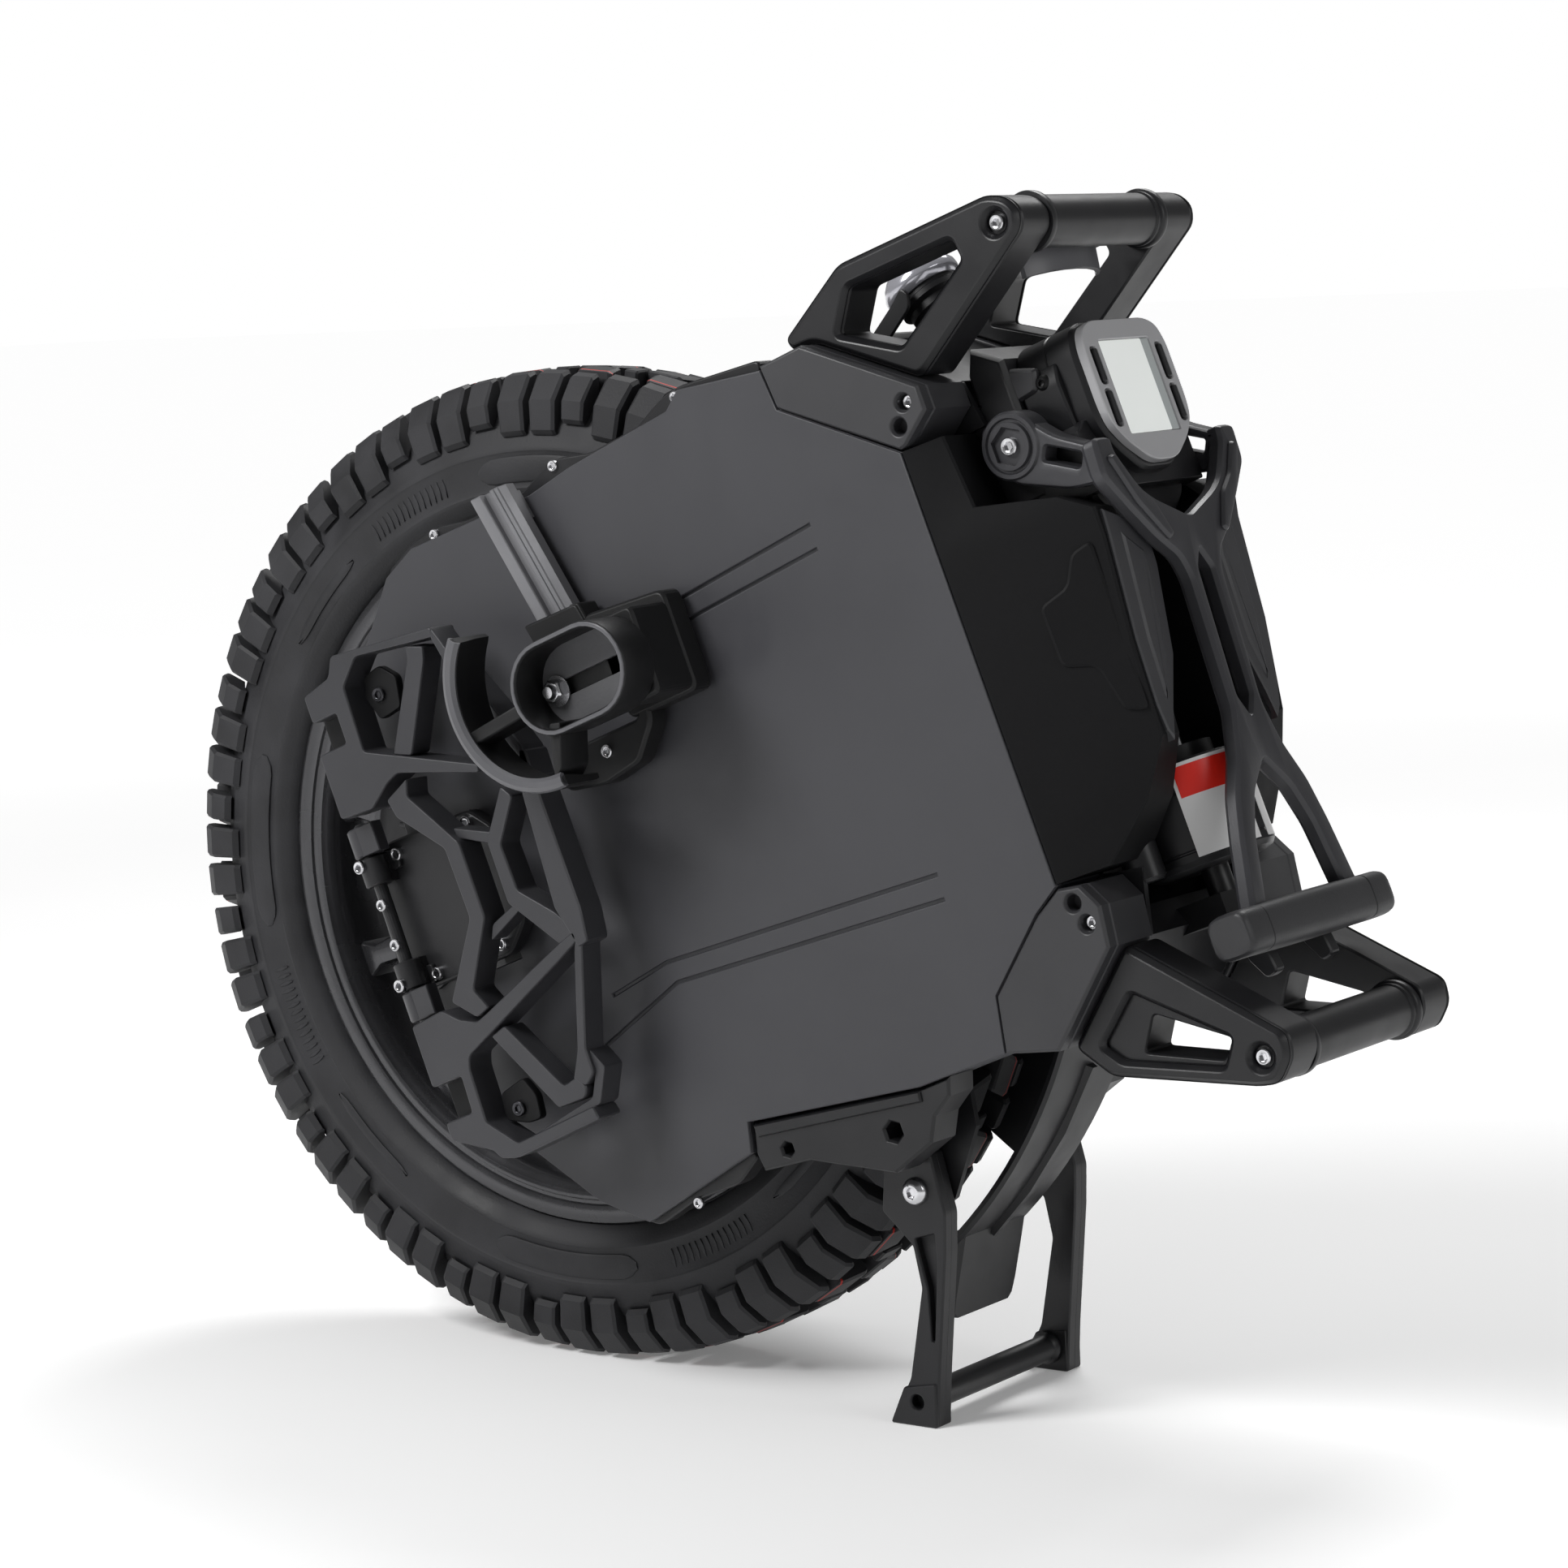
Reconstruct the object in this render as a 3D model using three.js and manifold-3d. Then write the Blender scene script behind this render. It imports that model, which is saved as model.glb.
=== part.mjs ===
// Off-road electric unicycle, parked leaning back on its kickstand.
// Millimetres. Every piece is drawn in the machine's riding frame: X forward, Y to the left, Z up,
// with the axle's centre as the origin while the suspension is extended. One group then leans it back.
import * as THREE from 'three';
import { mergeVertices } from 'three/addons/utils/BufferGeometryUtils.js';
import Module from 'manifold-3d';

const wasm = await Module();
wasm.setup();

// ---- Driving dimensions ----------------------------------------------------------------------
const TYRE_RADIUS = 300;
const TYRE_HALF_WIDTH = 46;
const RIM_LIP_RADIUS = 216.8;
const RIM_HALF_WIDTH = 37;
const MOTOR_RADIUS = 159.5;
const AXLE_RADIUS = 10;

const TRAVEL = 60;
const WELL_RADIUS = 305;
const LINER_THICKNESS = 4;
const GAP = 0.4;

const PLATE_INNER = 56;
const PLATE_OUTER = 60;
const PANEL_INNER = 98.6;
const PANEL_OUTER = 105;

const HINGE_Y = 130;
const HINGE_Z = -62;
const PEDAL_INNER = 129;
const PEDAL_OUTER = 150;
const KNUCKLE_RADIUS = 9;
const HINGE_PIN_RADIUS = 4;

const HANGER_INNER = 108.3;
const HANGER_OUTER = 120;
const FORK_INNER = 63;
const FORK_OUTER = 75;
const FORK_HALF = 16;

const ARM_INNER = 60.4;
const ARM_OUTER = 93;
const BAR_RADIUS = 15;
const FRONT_BAR = [218, 468];
const REAR_BAR = [-244, 447];

const TROLLEY_PIVOT = [109, 418];
const TROLLEY_SLOPE = 0.06;
const GRIP_CENTRE = [-180, 447];
const GRIP_HALF = 88;

const STAND_PIVOT = [-251, 195];
const STAND_INNER = 62;
const STAND_OUTER = 76;

const RAIL_INNER = 112;
const RAIL_OUTER = 122;
const PAD_BACK = 152.4;
const PAD_FACE = 186;
const CUP_CENTRE = [78, 167];
const PAD_BOLT = [78, 139];

const CAN_AXIS_Z = 404.5;
const CAN_RADIUS = 37;
const LAMP_CENTRE = [222, 356];
const LAMP_RADIUS = 21;
const LAMP_DROOP = THREE.MathUtils.degToRad(18);

const LEAN = THREE.MathUtils.degToRad(69);

// ---- Materials -------------------------------------------------------------------------------
function finish(color, roughness, metalness) {
  return new THREE.MeshStandardMaterial({ color, roughness, metalness });
}

const satinBlack = finish('#1b1b1d', 0.55, 0.1);
const panelGrey = finish('#37373b', 0.5, 0.2);
const castBlack = finish('#232326', 0.6, 0.3);
const rubber = finish('#18181a', 0.85, 0);
const rimBlack = finish('#141416', 0.4, 0.5);
const motorBlack = finish('#121214', 0.5, 0.5);
const steel = finish('#b9bbbf', 0.3, 1);
const aluminium = finish('#77777a', 0.4, 0.8);
const bezelGrey = finish('#6d6e73', 0.25, 0.1);
const screenWhite = finish('#d9dedb', 0.2, 0);
const glassClear = finish('#cfd6dc', 0.1, 0);
const cellBlue = finish('#2b3242', 0.7, 0);

// ---- Solids ----------------------------------------------------------------------------------
function bareMesh(geometry) {
  const bare = geometry.clone();
  bare.deleteAttribute('normal');
  bare.deleteAttribute('uv');
  return mergeVertices(bare, 1e-3);
}

function triangles(indices) {
  const kept = [];
  for (let i = 0; i < indices.length; i += 3) {
    const [a, b, c] = [indices[i], indices[i + 1], indices[i + 2]];
    if (a !== b && b !== c && c !== a) kept.push(a, b, c);
  }
  return kept;
}

function signedVolume(positions, indices) {
  const [a, b, c] = [new THREE.Vector3(), new THREE.Vector3(), new THREE.Vector3()];
  let volume = 0;
  for (let i = 0; i < indices.length; i += 3) {
    a.fromArray(positions, indices[i] * 3);
    b.fromArray(positions, indices[i + 1] * 3);
    c.fromArray(positions, indices[i + 2] * 3);
    volume += a.dot(b.cross(c)) / 6;
  }
  return volume;
}

function toSolid(geometry) {
  const merged = bareMesh(geometry);
  const positions = merged.attributes.position.array;
  const indices = triangles(merged.index.array);
  if (signedVolume(positions, indices) < 0) indices.reverse();
  const mesh = new wasm.Mesh({
    numProp: 3,
    vertProperties: Float32Array.from(positions),
    triVerts: Uint32Array.from(indices),
  });
  return new wasm.Manifold(mesh);
}

function toGeometry(solid) {
  const mesh = solid.getMesh();
  const geometry = new THREE.BufferGeometry();
  geometry.setAttribute('position', new THREE.BufferAttribute(Float32Array.from(mesh.vertProperties), 3));
  geometry.setIndex(new THREE.BufferAttribute(Uint32Array.from(mesh.triVerts), 1));
  return geometry;
}

function join(...pieces) {
  return toGeometry(pieces.map(toSolid).reduce((whole, piece) => whole.add(piece)));
}

function cut(base, ...tools) {
  return toGeometry(tools.map(toSolid).reduce((whole, tool) => whole.subtract(tool), toSolid(base)));
}

function mirrored(geometry) {
  const copy = bareMesh(geometry);
  copy.scale(1, -1, 1);
  const flipped = Array.from(copy.index.array);
  for (let i = 0; i < flipped.length; i += 3) {
    [flipped[i + 1], flipped[i + 2]] = [flipped[i + 2], flipped[i + 1]];
  }
  copy.setIndex(flipped);
  return copy;
}

function vectors(points) {
  return points.map(([u, v]) => new THREE.Vector2(u, v));
}

// A plate with an outline in X and Z, between two Y values, with chamfered edges where asked.
function slab(outline, yLow, yHigh, chamfer = 0, holes = []) {
  const geometry = new THREE.ExtrudeGeometry(new THREE.Shape(vectors(outline)), {
    depth: yHigh - yLow - 2 * chamfer,
    bevelEnabled: chamfer > 0,
    bevelThickness: chamfer,
    bevelSize: chamfer,
    bevelOffset: -chamfer,
    bevelSegments: 1,
  });
  geometry.rotateX(Math.PI / 2);
  geometry.translate(0, yHigh - chamfer, 0);
  if (!holes.length) return geometry;
  return cut(geometry, ...holes.map((hole) => slab(hole, yLow - 5, yHigh + 5)));
}

// A plate with an outline in X and Y, between two Z values.
function sheet(outline, zLow, zHigh, chamfer = 0, holes = []) {
  const geometry = slab(outline, zLow, zHigh, chamfer, holes);
  geometry.rotateX(-Math.PI / 2);
  geometry.translate(0, 0, zLow + zHigh);
  geometry.scale(1, 1, -1);
  geometry.translate(0, 0, zLow + zHigh);
  return mirroredBack(geometry);
}

function mirroredBack(geometry) {
  const copy = bareMesh(geometry);
  const indices = Array.from(copy.index.array);
  if (signedVolume(copy.attributes.position.array, indices) < 0) indices.reverse();
  copy.setIndex(indices);
  return copy;
}

function block(x, y, z) {
  const geometry = new THREE.BoxGeometry(x[1] - x[0], y[1] - y[0], z[1] - z[0]);
  geometry.translate((x[0] + x[1]) / 2, (y[0] + y[1]) / 2, (z[0] + z[1]) / 2);
  return geometry;
}

// A cylinder along Y at a point given in X and Z.
function drum([x, z], radius, yLow, yHigh, sides = 24) {
  const geometry = new THREE.CylinderGeometry(radius, radius, yHigh - yLow, sides);
  geometry.translate(x, (yLow + yHigh) / 2, z);
  return geometry;
}

// A cylinder between any two points.
function rod(from, to, radius, sides = 16, endRadius = radius) {
  const start = new THREE.Vector3(...from);
  const along = new THREE.Vector3(...to).sub(start);
  const geometry = new THREE.CylinderGeometry(endRadius, radius, along.length(), sides);
  geometry.translate(0, along.length() / 2, 0);
  geometry.applyQuaternion(
    new THREE.Quaternion().setFromUnitVectors(new THREE.Vector3(0, 1, 0), along.clone().normalize()),
  );
  geometry.translate(...from);
  return geometry;
}

function turned(profile, sides) {
  return mirroredBack(new THREE.LatheGeometry(vectors(profile), sides));
}

function halfProfile(points) {
  const back = points.map(([radius, y]) => [radius, -y]).reverse();
  const ring = [...back, ...points];
  return [...ring, ring[0]];
}

// A stack of matching rings of points, closed at both ends.
function loft(rings) {
  const count = rings[0].length;
  const positions = rings.flat(2);
  const indices = [];
  for (let i = 0; i + 1 < rings.length; i++) {
    for (let j = 0; j < count; j++) {
      const [a, b] = [i * count + j, i * count + ((j + 1) % count)];
      indices.push(a, b, b + count, a, b + count, a + count);
    }
  }
  const last = (rings.length - 1) * count;
  const cap = THREE.ShapeUtils.triangulateShape(vectors(rings[0].map(([, y, z]) => [y, z])), []);
  for (const [a, b, c] of cap) indices.push(c, b, a, last + a, last + b, last + c);
  const geometry = new THREE.BufferGeometry();
  geometry.setAttribute('position', new THREE.BufferAttribute(Float32Array.from(positions), 3));
  geometry.setIndex(indices);
  return mirroredBack(geometry);
}

function arc([x, z], radius, fromDegrees, toDegrees, steps) {
  return Array.from({ length: steps + 1 }, (_, i) => {
    const angle = THREE.MathUtils.degToRad(fromDegrees + ((toDegrees - fromDegrees) * i) / steps);
    return [x + radius * Math.cos(angle), z + radius * Math.sin(angle)];
  });
}

function band(centre, inner, outer, fromDegrees, toDegrees, steps) {
  const outside = arc(centre, outer, fromDegrees, toDegrees, steps);
  const inside = arc(centre, inner, toDegrees, fromDegrees, steps);
  return [...outside, ...inside];
}

function stadium([x, z], halfWidth, halfLength, steps = 8) {
  const reach = halfLength - halfWidth;
  const top = arc([x, z + reach], halfWidth, 0, 180, steps);
  const bottom = arc([x, z - reach], halfWidth, 180, 360, steps);
  return [...top, ...bottom];
}

function hexagon([x, z], radius) {
  return arc([x, z], radius, 0, 300, 5);
}

// ---- Scene -----------------------------------------------------------------------------------
const machine = new THREE.Group();

function add(name, geometry, material) {
  const mesh = new THREE.Mesh(geometry, material);
  mesh.name = name;
  machine.add(mesh);
}

function addPair(name, geometry, material) {
  add(`${name}_left`, geometry, material);
  add(`${name}_right`, mirrored(geometry), material);
}

// ---- Wheel -----------------------------------------------------------------------------------
const tyreProfile = halfProfile([
  [286, 14], [278, 32], [240, 36], [205.4, 24], [205.4, 33.2], [217.4, 33.2], [222, 40], [240, 45],
  [262, TYRE_HALF_WIDTH], [288, 42.5], [298, 32], [TYRE_RADIUS, 18],
]);
add('tyre', turned(tyreProfile, 56), rubber);

const rimBarrel = turned(halfProfile([
  [190, 12], [192, 30], [198, RIM_HALF_WIDTH], [RIM_LIP_RADIUS, RIM_HALF_WIDTH], [RIM_LIP_RADIUS, 33.6],
  [204.6, 33.6],
]), 48);
const spokeRing = turned(halfProfile([[160, 20], [167, 20]]), 48);
const SPOKES = 12;
const spokes = Array.from({ length: SPOKES }, (_, i) => {
  const spoke = block([164, 196], [-17, 17], [-9, 9]);
  spoke.rotateY((i / SPOKES) * Math.PI * 2);
  return spoke;
});
add('rim', join(rimBarrel, spokeRing, ...spokes), rimBlack);

add('hub_motor', turned(halfProfile([
  [11, 38], [62, 40], [72, 35], [140, 29], [MOTOR_RADIUS, 22],
]), 40), motorBlack);

add('axle', drum([0, 0], AXLE_RADIUS, -FORK_OUTER - 6, FORK_OUTER + 6), steel);

// ---- Suspended carriage: fork legs, pedal hangers and hinge pins ------------------------------
const hangerPlate = slab([
  [42, 18], [42, -70], [30, -78], [-30, -78], [-42, -70], [-42, 18], [-30, 28], [30, 28],
], HANGER_INNER, HANGER_OUTER, 2);
const hangerFoot = block([-40, 40], [FORK_INNER + 1, HANGER_INNER + 3], [-77, -65]);
const forkLeg = block([-FORK_HALF, FORK_HALF], [FORK_INNER, FORK_OUTER], [-77, 262]);
const axleSeat = drum([0, 0], AXLE_RADIUS + 0.3, FORK_INNER - 2, FORK_OUTER + 2);
const hingeRod = rod([-61, HINGE_Y, HINGE_Z], [61, HINGE_Y, HINGE_Z], HINGE_PIN_RADIUS);
const hangerLugs = [[-41, -24], [24, 41]].flatMap(([from, to]) => [
  rod([from, HINGE_Y, HINGE_Z], [to, HINGE_Y, HINGE_Z], KNUCKLE_RADIUS - 0.5),
  block([from, to], [HANGER_OUTER - 2, HINGE_Y], [HINGE_Z - 7, HINGE_Z + 7]),
]);
addPair('hanger', cut(
  join(hangerPlate, hangerFoot, forkLeg, hingeRod, ...hangerLugs), axleSeat,
), castBlack);

// ---- Folding pedals ----------------------------------------------------------------------------
const pedalOutline = [
  [146, -50], [160, -26], [147, 50], [33, 87], [-47, 88], [-124, 69], [-146, 28], [-152, -35],
  [-132, -52],
];
const pedalWindows = [
  [[136, -32], [146, -20], [137, 38], [104, 46], [96, -10]],
  [[88, -12], [96, 48], [48, 66], [40, 16]],
  [[30, -34], [84, -26], [36, 6], [-6, 14]],
  [[28, 22], [34, 70], [-34, 74], [-40, 28]],
  [[-52, 22], [-46, 72], [-106, 60], [-112, 8]],
  [[-62, -30], [-22, -34], [-20, 10], [-52, 10]],
  [[-124, -34], [-76, -30], [-66, 8], [-116, -8]],
  [[-122, 12], [-114, 54], [-132, 20]],
];
const pedalPlate = slab(pedalOutline, PEDAL_INNER, PEDAL_OUTER, 3, pedalWindows);
const pedalKnuckles = [[-60, -42], [42, 60]].flatMap(([from, to]) => [
  rod([from, HINGE_Y, HINGE_Z], [to, HINGE_Y, HINGE_Z], KNUCKLE_RADIUS),
  block([from, to], [HINGE_Y - 1, HINGE_Y + 8.5], [HINGE_Z, HINGE_Z + 16]),
]);
const pinBore = rod([-70, HINGE_Y, HINGE_Z], [70, HINGE_Y, HINGE_Z], HINGE_PIN_RADIUS + 0.4);
addPair('pedal', cut(join(pedalPlate, ...pedalKnuckles), pinBore), castBlack);

// ---- Body: centre frame, batteries and side panels ---------------------------------------------
const panelOutline = [
  [126, 371], [178, 304], [202, 302], [214, 244], [206, 232], [203, 154], [199, 120], [203, 23],
  [194, -2], [150, -47], [46, -52], [46, 2], [-46, 2], [-46, -52], [-143, -47], [-196, -2],
  [-217, 28], [-200, 116], [-183, 121], [-198, 242], [-197, 304], [-166, 311], [-133, 353],
  [-123, 371],
];
const plateOutline = [
  [199, 23], [203, 154], [206, 244], [206, 300], [200, 333], [155, 394], [128, 399], [127.2, 371],
  [-122.8, 371], [-127.2, 398], [-163, 388], [-204, 338], [-196, 304], [-198, 244], [-228, 238],
  [-262, 208], [-266, 194], [-258, 182], [-210, 150], [-190, 118], [-212, 28], [-194, -2],
  [-143, -46], [-13, -50], [-13, TRAVEL + 14], [13, TRAVEL + 14], [13, -50], [150, -46], [194, -2],
];
const wheelWell = [0, TRAVEL];
const liner = band(wheelWell, WELL_RADIUS, WELL_RADIUS + LINER_THICKNESS, 50, 130, 24);
const frontBulkhead = [[172, 333], [200, 316], [200, 336], [158, 388], [146, 380], [150, 348]];
const rearBulkhead = [[-172, 333], [-200, 316], [-203, 338], [-163, 388], [-146, 380], [-150, 348]];
const canLug = [[-168, 382], [-168, 413], [-153, 413], [-153, 380]];
const standBosses = drum(STAND_PIVOT, 10, PLATE_INNER, STAND_INNER - GAP, 16);
const standBoltHole = drum(STAND_PIVOT, 4.4, PLATE_INNER - 2, STAND_INNER + 2, 12);
const sidePlate = cut(join(slab(plateOutline, PLATE_INNER, PLATE_OUTER), standBosses), standBoltHole);
add('centre_frame', join(
  sidePlate, mirrored(sidePlate),
  slab(liner, -PLATE_OUTER + 1, PLATE_OUTER - 1),
  slab(frontBulkhead, -PLATE_OUTER + 1, PLATE_OUTER - 1),
  slab(rearBulkhead, -PLATE_OUTER + 1, PLATE_OUTER - 1),
  slab(canLug, -18, 18),
), satinBlack);

const forkChannel = block([-FORK_HALF - 2.5, FORK_HALF + 2.5], [50, FORK_OUTER + 8], [-90, 262 + TRAVEL + 6]);
addPair('battery_pack', cut(slab(panelOutline, PLATE_OUTER + GAP, PANEL_INNER - GAP), forkChannel), cellBlue);
addPair('side_panel', slab(panelOutline, PANEL_INNER, PANEL_OUTER, 1.5), panelGrey);

const frontCorner = [[127.4, 371.8], [178.4, 304.8], [202, 302.8], [202, 333], [155, 396], [128, 402]];
const rearCorner = [
  [-124.6, 371.8], [-134, 353.6], [-166.6, 311.8], [-197.4, 304.8], [-206, 338], [-163.5, 390.5],
  [-141, 394], [-127, 399],
];
addPair('corner_block_front', slab(frontCorner, PLATE_OUTER + GAP, PANEL_OUTER + 1.5, 2), satinBlack);
addPair('corner_block_rear', slab(rearCorner, PLATE_OUTER + GAP, PANEL_OUTER + 1.5, 2), satinBlack);

const guardOutline = [
  [-201, 117.5], [-184.4, 122.4], [-199, 242], [-198, 262], [-208, 258], [-216, 244], [-229, 236],
  [-238, 206], [-215, 152], [-212, 119],
];
addPair('lower_guard', slab(guardOutline, STAND_OUTER + 1.2, PANEL_OUTER - GAP, 1.5), satinBlack);

const noseOutline = [[206.6, 300], [240, 306], [241, 315], [207, 319]];
add('front_fender', slab(noseOutline, -PLATE_OUTER, PLATE_OUTER, 1), satinBlack);

const flapNeck = [
  ...arc(wheelWell, WELL_RADIUS + 1, 131, 157, 6), ...arc(wheelWell, WELL_RADIUS + 6, 157, 131, 6),
];
const flapTail = [[-283, 179], [-324, 152], [-328, 158], [-288, 186]];
add('rear_mudguard', join(slab(flapNeck, -15, 15), slab(flapTail, -23, 23, 1)), satinBlack);

// ---- Top deck ------------------------------------------------------------------------------------
const DECK_BOTTOM = 371.6;
const deckSections = [
  { x: -122, outer: 104.6, ridge: [88, 398], inner: [46, 396] },
  { x: -96, outer: 104.6, ridge: [74, 424], inner: [44, 422] },
  { x: -66, outer: 104.6, ridge: [66, 442], inner: [42, 438] },
  { x: 60, outer: 104.6, ridge: [75, 456], inner: [44, 450] },
  { x: 72, outer: 104.6, ridge: [80, 440], inner: [56.4, 436] },
  { x: 84, outer: 104.6, ridge: [92, 396], inner: [56.4, 394] },
  { x: 126, outer: 104.6, ridge: [95, 394], inner: [60.4, 392] },
];
const deckRings = deckSections.map(({ x, outer, ridge, inner }) => [
  [x, outer, DECK_BOTTOM], [x, ...ridge], [x, ...inner], [x, inner[0], DECK_BOTTOM],
]);
addPair('deck_cover', loft(deckRings), satinBlack);

// Rubber plug over the charging sockets, lying on the left side slope.
const portOutline = [
  [38, 384], [38, 418], [16, 418], [8, 402], [-30, 402], [-36, 412], [-56, 412], [-60, 398], [-46, 384],
];
function slopeSkin(offset) {
  return loft(deckSections.slice(2, 4).map(({ x, outer, ridge }) => [
    [x, outer + offset, DECK_BOTTOM], [x, ridge[0] + offset, ridge[1]], [x, 20, ridge[1]], [x, 20, DECK_BOTTOM],
  ]));
}
const portBlank = toSolid(slab(portOutline, 30, 120)).intersect(toSolid(slopeSkin(3)));
add('charge_port_cover', toGeometry(portBlank.subtract(toSolid(slopeSkin(GAP)))), rubber);

const controllerOutline = [[78, 376], [78, 420], [158, 420], [171, 402], [157, 395.5], [140, 395.5], [132, 376]];
add('controller_box', slab(controllerOutline, -55.4, 55.4, 2), satinBlack);

// ---- Handles ---------------------------------------------------------------------------------------
const frontArm = [[160.8, 390.8], [203, 334.2], [212, 332], [236, 375], [232, 468], [223, 481], [211, 482]];
const frontArmWindow = [[224, 370], [220, 439], [209, 439], [182, 386], [200, 354]];
const rearArm = [
  [-164, 391.2], [-206.6, 338.6], [-228, 355], [-259, 440], [-261, 452], [-250, 464], [-237, 466],
];
const rearArmWindow = [[-216, 398], [-224, 386], [-238, 424], [-228, 427]];
addPair('handle_arm_front', slab(frontArm, ARM_INNER, ARM_OUTER, 4, [frontArmWindow]), satinBlack);
addPair('handle_arm_rear', slab(rearArm, ARM_INNER, ARM_OUTER, 4, [rearArmWindow]), satinBlack);

function handleBar(centre) {
  const end = drum(centre, BAR_RADIUS + 3, ARM_INNER - 5, ARM_INNER - GAP);
  return join(drum(centre, BAR_RADIUS, -ARM_INNER + 3, ARM_INNER - 3), end, mirrored(end));
}
add('handle_bar_front', handleBar(FRONT_BAR), satinBlack);
add('handle_bar_rear', handleBar(REAR_BAR), satinBlack);

// ---- The kickstand's pivot bolts ---------------------------------------------------------------------
addPair('kickstand_bolt', join(
  drum(STAND_PIVOT, 4, PLATE_INNER - 1, STAND_OUTER + 1, 12),
  drum(STAND_PIVOT, 8, STAND_OUTER + GAP, STAND_OUTER + 5, 16),
), steel);

// ---- Display ------------------------------------------------------------------------------------------
const displayHalf = [[76, 15], [90, 33], [102, 43], [112, 45], [137, 45], [151, 34], [161, 24]];
const displayPlan = [...displayHalf, ...displayHalf.map(([x, y]) => [x, -y]).reverse()];
const bezelHalf = [[78, 13], [91, 31], [103, 41], [113, 43], [136, 43], [149, 33], [159, 23]];
const bezelPlan = [...bezelHalf, ...bezelHalf.map(([x, y]) => [x, -y]).reverse()];
const screenPlan = [[96, -27], [152, -27], [152, 27], [96, 27]];
const screenHole = [[95.6, -27.4], [152.4, -27.4], [152.4, 27.4], [95.6, 27.4]];
const buttonSpots = [[109, 34], [133, 34], [109, -34], [133, -34]];
const BUTTON_HALF = [10, 2.5];

function buttonPlan([x, y], margin) {
  const [halfX, halfY] = [BUTTON_HALF[0] + margin, BUTTON_HALF[1] + margin];
  return [[x - halfX, y - halfY], [x + halfX, y - halfY], [x + halfX, y + halfY], [x - halfX, y + halfY]];
}

add('display_housing', sheet(displayPlan, 420.4, 458, 2), satinBlack);
const bezelHoles = [screenHole, ...buttonSpots.map((spot) => buttonPlan(spot, 0.5))];
add('display_bezel', sheet(bezelPlan, 458.4, 464.5, 0, bezelHoles), bezelGrey);
add('display_screen', sheet(screenPlan, 458.4, 463), screenWhite);
buttonSpots.forEach((spot, i) => {
  add(`display_button_${i + 1}`, sheet(buttonPlan(spot, 0), 460.2, 465.5), satinBlack);
});

// ---- Shock absorber --------------------------------------------------------------------------------------
const canBody = rod([-78, 0, CAN_AXIS_Z], [-138, 0, CAN_AXIS_Z], CAN_RADIUS, 32);
const canNeck = rod([-136, 0, CAN_AXIS_Z], [-152.4, 0, CAN_AXIS_Z], 8);
const canBore = rod([-70, 0, CAN_AXIS_Z], [-134, 0, CAN_AXIS_Z], 7.6);
add('shock_can', cut(join(canBody, canNeck), canBore), satinBlack);
add('shock_shaft', join(
  rod([-98, 0, CAN_AXIS_Z], [44, 0, CAN_AXIS_Z], 7),
  block([40, 58], [-14, 14], [CAN_AXIS_Z - 11, CAN_AXIS_Z + 11]),
  rod([49, -38, CAN_AXIS_Z], [49, 38, CAN_AXIS_Z], 6),
), steel);

// ---- Headlight ---------------------------------------------------------------------------------------------
const aim = [Math.cos(LAMP_DROOP), -Math.sin(LAMP_DROOP)];
const alongLamp = (distance) => [LAMP_CENTRE[0] + aim[0] * distance, 0, LAMP_CENTRE[1] + aim[1] * distance];
const lampEar = slab([
  [200.4, 318], [208, 322], [238, 344], [236, 360], [222, 368], [200.4, 334],
], LAMP_RADIUS + 1.6, LAMP_RADIUS + 5.6);
const lampBase = block([200.4, 204], [-24, 24], [319, 334]);
add('headlight_bracket', join(lampEar, mirrored(lampEar), lampBase), satinBlack);
add('headlight_body', rod(alongLamp(-14), alongLamp(12), LAMP_RADIUS, 28), satinBlack);
add('headlight_lens', rod(alongLamp(12 + GAP), alongLamp(15.5), LAMP_RADIUS - 1.5, 28, LAMP_RADIUS - 4), glassClear);

// ---- Trolley handle -----------------------------------------------------------------------------------------
const trolleyHalf = [
  [48, 0], [61, 33], [71, 45], [86, 57], [94, 57], [94, 74], [74, 73], [56, 54], [40, 37], [28, 20],
  [16, 14], [-60, 14], [-84, 20], [-104, 34], [-130, 45], [-166, 60], [-166, 45], [-132, 31],
  [-110, 18], [-94, 0],
];
const trolleyOther = trolleyHalf.slice(1, -1).map(([x, y]) => [x, -y]).reverse();
const trolleySlot = [[24, -4], [24, 4], [-56, 6], [-62, 0], [-56, -6]];
const trolleyPlate = sheet([...trolleyHalf, ...trolleyOther], -6, 6, 1.5, [trolleySlot]);
const slope = new THREE.Matrix4().set(1, 0, 0, 0, 0, 1, 0, 0, TROLLEY_SLOPE, 0, 1, 458, 0, 0, 0, 1);
trolleyPlate.applyMatrix4(slope);
const trolleyCheek = slab([
  [70, 466], [90, 467], [104, 446], [128, 424], [124, 402], [104, 398], [88, 414], [74, 444],
], 57, 73, 2);
const trolleyBoss = drum(TROLLEY_PIVOT, 19, 57, 73, 24);
const trolleyBore = drum(TROLLEY_PIVOT, 6.4, 50, 80, 16);
const trolleySide = cut(join(trolleyCheek, trolleyBoss), trolleyBore);
add('trolley_frame', join(trolleyPlate, trolleySide, mirrored(trolleySide)), castBlack);

const gripSection = [
  [-13, -9], [-9, -14], [9, -14], [13, -9], [13, 9], [9, 14], [-9, 14], [-13, 9],
].map(([x, z]) => [GRIP_CENTRE[0] + x, GRIP_CENTRE[1] + z]);
add('trolley_grip', slab(gripSection, -GRIP_HALF, GRIP_HALF, 2.5), rubber);
addPair('trolley_bolt', join(
  drum(TROLLEY_PIVOT, 6, 55.8, 75, 16), drum(TROLLEY_PIVOT, 10, 73.4, 78, 16),
), steel);

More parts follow.
